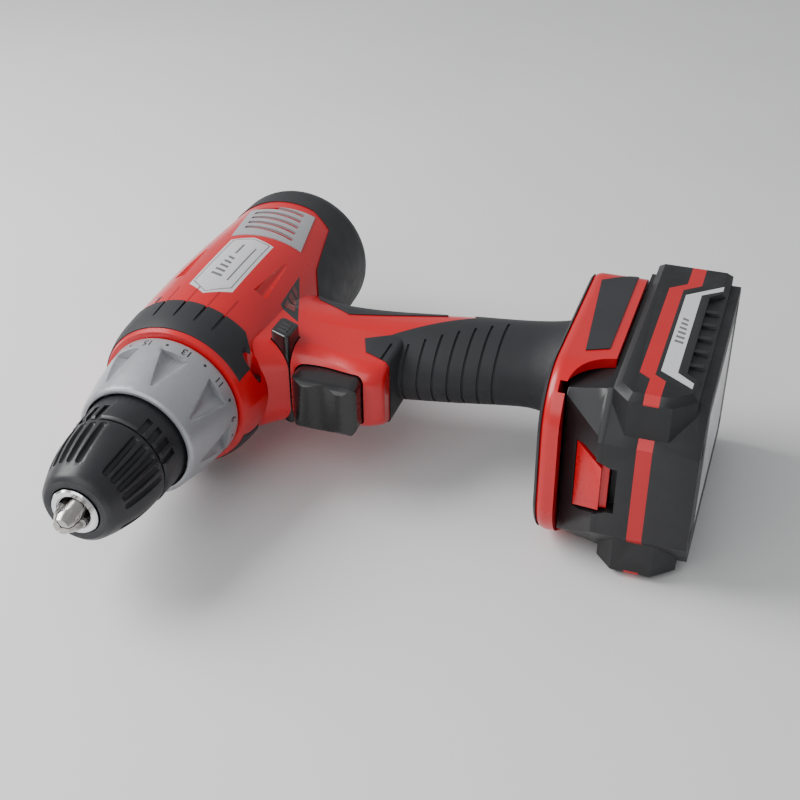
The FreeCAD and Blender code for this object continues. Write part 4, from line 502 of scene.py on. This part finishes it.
def charge_lights():
    """Three shrinking lights in the charge window, all off."""
    low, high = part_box("charge_window")
    front, rear = low.y / MM, high.y / MM
    bottom, top = low.z / MM, high.z / MM
    length = rear - front
    place = from_side(tree_of(["charge_window"]), 1.0)
    lights = []
    for start, end in ((0.26, 0.40), (0.46, 0.58), (0.64, 0.74)):
        corners = []
        for share, edge in ((start, 0.16), (end, 0.16), (end, 0.84), (start, 0.84)):
            floor = bottom + (top - bottom) * share
            ceiling = top - (top - bottom) * 0.10 * (1.0 - share)
            corners.append((front + length * (share - 0.05 * (1.0 - edge)),
                            floor + (ceiling - floor) * edge))
        lights.append(corners)
    piece("charge_lights", [(shapes(lights), place)], "housing", DULL_RED, 0.12)


RIDGE_PITCH = 2.3


def selector_grips():
    """Finger ridges on both ends of the direction slider."""
    low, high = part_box("direction_selector")
    tree = tree_of(["direction_selector"])
    middle_y = (low.y + high.y) / 2.0 / MM
    middle_z = (low.z + high.z) / 2.0 / MM
    for side, name in ((1.0, "left"), (-1.0, "right")):
        ridges = [bar(middle_y + step * RIDGE_PITCH, middle_z, 0.9, 4.6, 1.0) for step in (-1, 0, 1)]
        piece("selector_ridges_" + name, [(shapes(ridges), from_side(tree, side))], "direction_selector",
              MATERIALS["control_black"], 0.35)


TICK_Y = 23.5                # place of the highest slit
TICK_Z = 147.0


def handle_ticks():
    """Short slits down the rubber at the back of the handle, drawn as flat near-black marks: painted shade
    standing in for the shadow inside each slit.
    """
    tree = tree_of(["rear_bumper_left", "rear_bumper_right"])
    for side, name in ((1.0, "left"), (-1.0, "right")):
        ticks = [bar(TICK_Y + 1.1 * step, TICK_Z - 9.5 * step, 3.4, 0.7, -0.2) for step in range(4)]
        piece("bumper_ticks_" + name, [(shapes(ticks), from_side(tree, side))], "housing", PAINTED_SLIT_SHADE, 0.03)


BADGE_BAR_Y = -8.0           # place of the badges' first bar
BADGE_BAR_Z = 15.3
PANEL_FRONT = -26.5          # rating panel on the bottom label
PANEL_REAR = 34.5
PANEL_HALF = 22.5


def pack_marks():
    """Plain bars on the pack's badges and a generic rating panel on its bottom label."""
    tree = tree_of(["pack_case", "pack_labels", "pack_stripe"])
    for side, name in ((1.0, "left"), (-1.0, "right")):
        bars = [bar(BADGE_BAR_Y + 3.2 * step, BADGE_BAR_Z, 1.4, 3.2 - 0.2 * step, 0.5) for step in range(6)]
        piece("badge_bars_" + name, [(shapes(bars), from_side(tree, side))], "battery_pack", INK_GREY, 0.04)
    rows = [bar(0.0, PANEL_REAR - 6.5 * (step + 1), 36.0 - 5.0 * (step % 3), 1.1) for step in range(9)]
    corners = [(-PANEL_HALF, PANEL_FRONT), (PANEL_HALF, PANEL_FRONT), (PANEL_HALF, PANEL_REAR),
               (-PANEL_HALF, PANEL_REAR)]
    panel = shapes(rows + border(corners, 0.5, 0.5), 3.0)
    piece("bottom_label_print", [(panel, from_below(tree))], "battery_pack", INK_GREY, 0.0, 0.2)


collar_marks()
barrel_marks()
nameplate_marks()
charge_lights()
selector_grips()
handle_ticks()
pack_marks()


# ---------------------------------------------------------------- floor, light and camera
def one_way_floor(name, centre, normal, size, bounces):
    """A large pale sheet that shows only from its upper side."""
    mesh = bmesh.new()
    bmesh.ops.create_grid(mesh, x_segments=2, y_segments=2, size=size)
    data = bpy.data.meshes.new(name)
    mesh.to_mesh(data)
    mesh.free()
    floor = bpy.data.objects.new(name, data)
    turn = Vector(normal).to_track_quat("Z", "Y").to_matrix().to_4x4()
    floor.matrix_world = Matrix.Translation(centre) @ turn
    bpy.context.scene.collection.objects.link(floor)
    material, tree, shader, place = new_material(name)
    patches = spread(tree, noise(tree, place, 6.0), 0.0, 1.0)
    base = blend_colours(tree, patches, (0.80, 0.80, 0.80), (0.84, 0.84, 0.84))
    tree.links.new(base, shader.inputs["Base Color"])
    shader.inputs["Roughness"].default_value = 0.75
    geometry = tree.nodes.new("ShaderNodeNewGeometry")
    clear = tree.nodes.new("ShaderNodeBsdfTransparent")
    choice = tree.nodes.new("ShaderNodeMixShader")
    tree.links.new(geometry.outputs["Backfacing"], choice.inputs["Fac"])
    tree.links.new(shader.outputs["BSDF"], choice.inputs[1])
    tree.links.new(clear.outputs["BSDF"], choice.inputs[2])
    tree.links.new(choice.outputs["Shader"], tree.nodes["Material Output"].inputs["Surface"])
    data.materials.append(material)
    floor.visible_diffuse = bounces
    floor.visible_glossy = bounces
    floor.visible_shadow = bounces


def soft_light(name, place, power, size, aim):
    """A large square softbox aimed at a point."""
    lamp = bpy.data.lights.new(name, "AREA")
    lamp.energy = power
    lamp.size = size
    thing = bpy.data.objects.new(name, lamp)
    thing.location = place
    thing.rotation_euler = (aim - Vector(place)).to_track_quat("-Z", "Y").to_euler()
    bpy.context.scene.collection.objects.link(thing)


CAMERA_PLACE = Vector((0.2676, -0.3982, -0.0194))
CAMERA_UP = Vector((0.902, 0.410, 0.136))
CAMERA_AIM = MIDDLE
LENS = 58.0


def set_camera():
    """A view from the front left, with the drill lying on its right side."""
    data = bpy.data.cameras.new("camera")
    data.lens = LENS
    data.sensor_width = 36.0
    data.clip_start = 0.01
    data.clip_end = 20.0
    camera = bpy.data.objects.new("camera", data)
    forward = (CAMERA_AIM - CAMERA_PLACE).normalized()
    right = forward.cross(CAMERA_UP).normalized()
    up = right.cross(forward)
    turn = Matrix((right, up, -forward)).transposed().to_4x4()
    camera.matrix_world = Matrix.Translation(CAMERA_PLACE) @ turn
    bpy.context.scene.collection.objects.link(camera)
    bpy.context.scene.camera = camera


def set_world():
    """An even pale surround."""
    world = bpy.data.worlds.new("surround")
    bpy.context.scene.world = world
    world.use_nodes = True
    background = world.node_tree.nodes["Background"]
    background.inputs["Color"].default_value = (0.90, 0.91, 0.93, 1.0)
    background.inputs["Strength"].default_value = 0.50


FLOOR_GAP = 0.0006
FLOOR_HALF = 2.5
lying_centre = Vector((cad_low.x - FLOOR_GAP, 0.4, 0.2))
standing_centre = Vector((0.0, 0.0, cad_low.z - FLOOR_GAP))
one_way_floor("floor_lying", lying_centre, (1.0, 0.0, 0.0), FLOOR_HALF, True)
one_way_floor("floor_standing", standing_centre, (0.0, 0.0, 1.0), FLOOR_HALF, False)
soft_light("key", (0.55, -0.10, 0.75), 9.0, 0.55, MIDDLE)
soft_light("fill", (0.50, -0.65, 0.25), 2.2, 0.60, MIDDLE)
soft_light("rim", (-0.35, 0.55, 0.60), 4.5, 0.50, MIDDLE)
set_camera()
set_world()
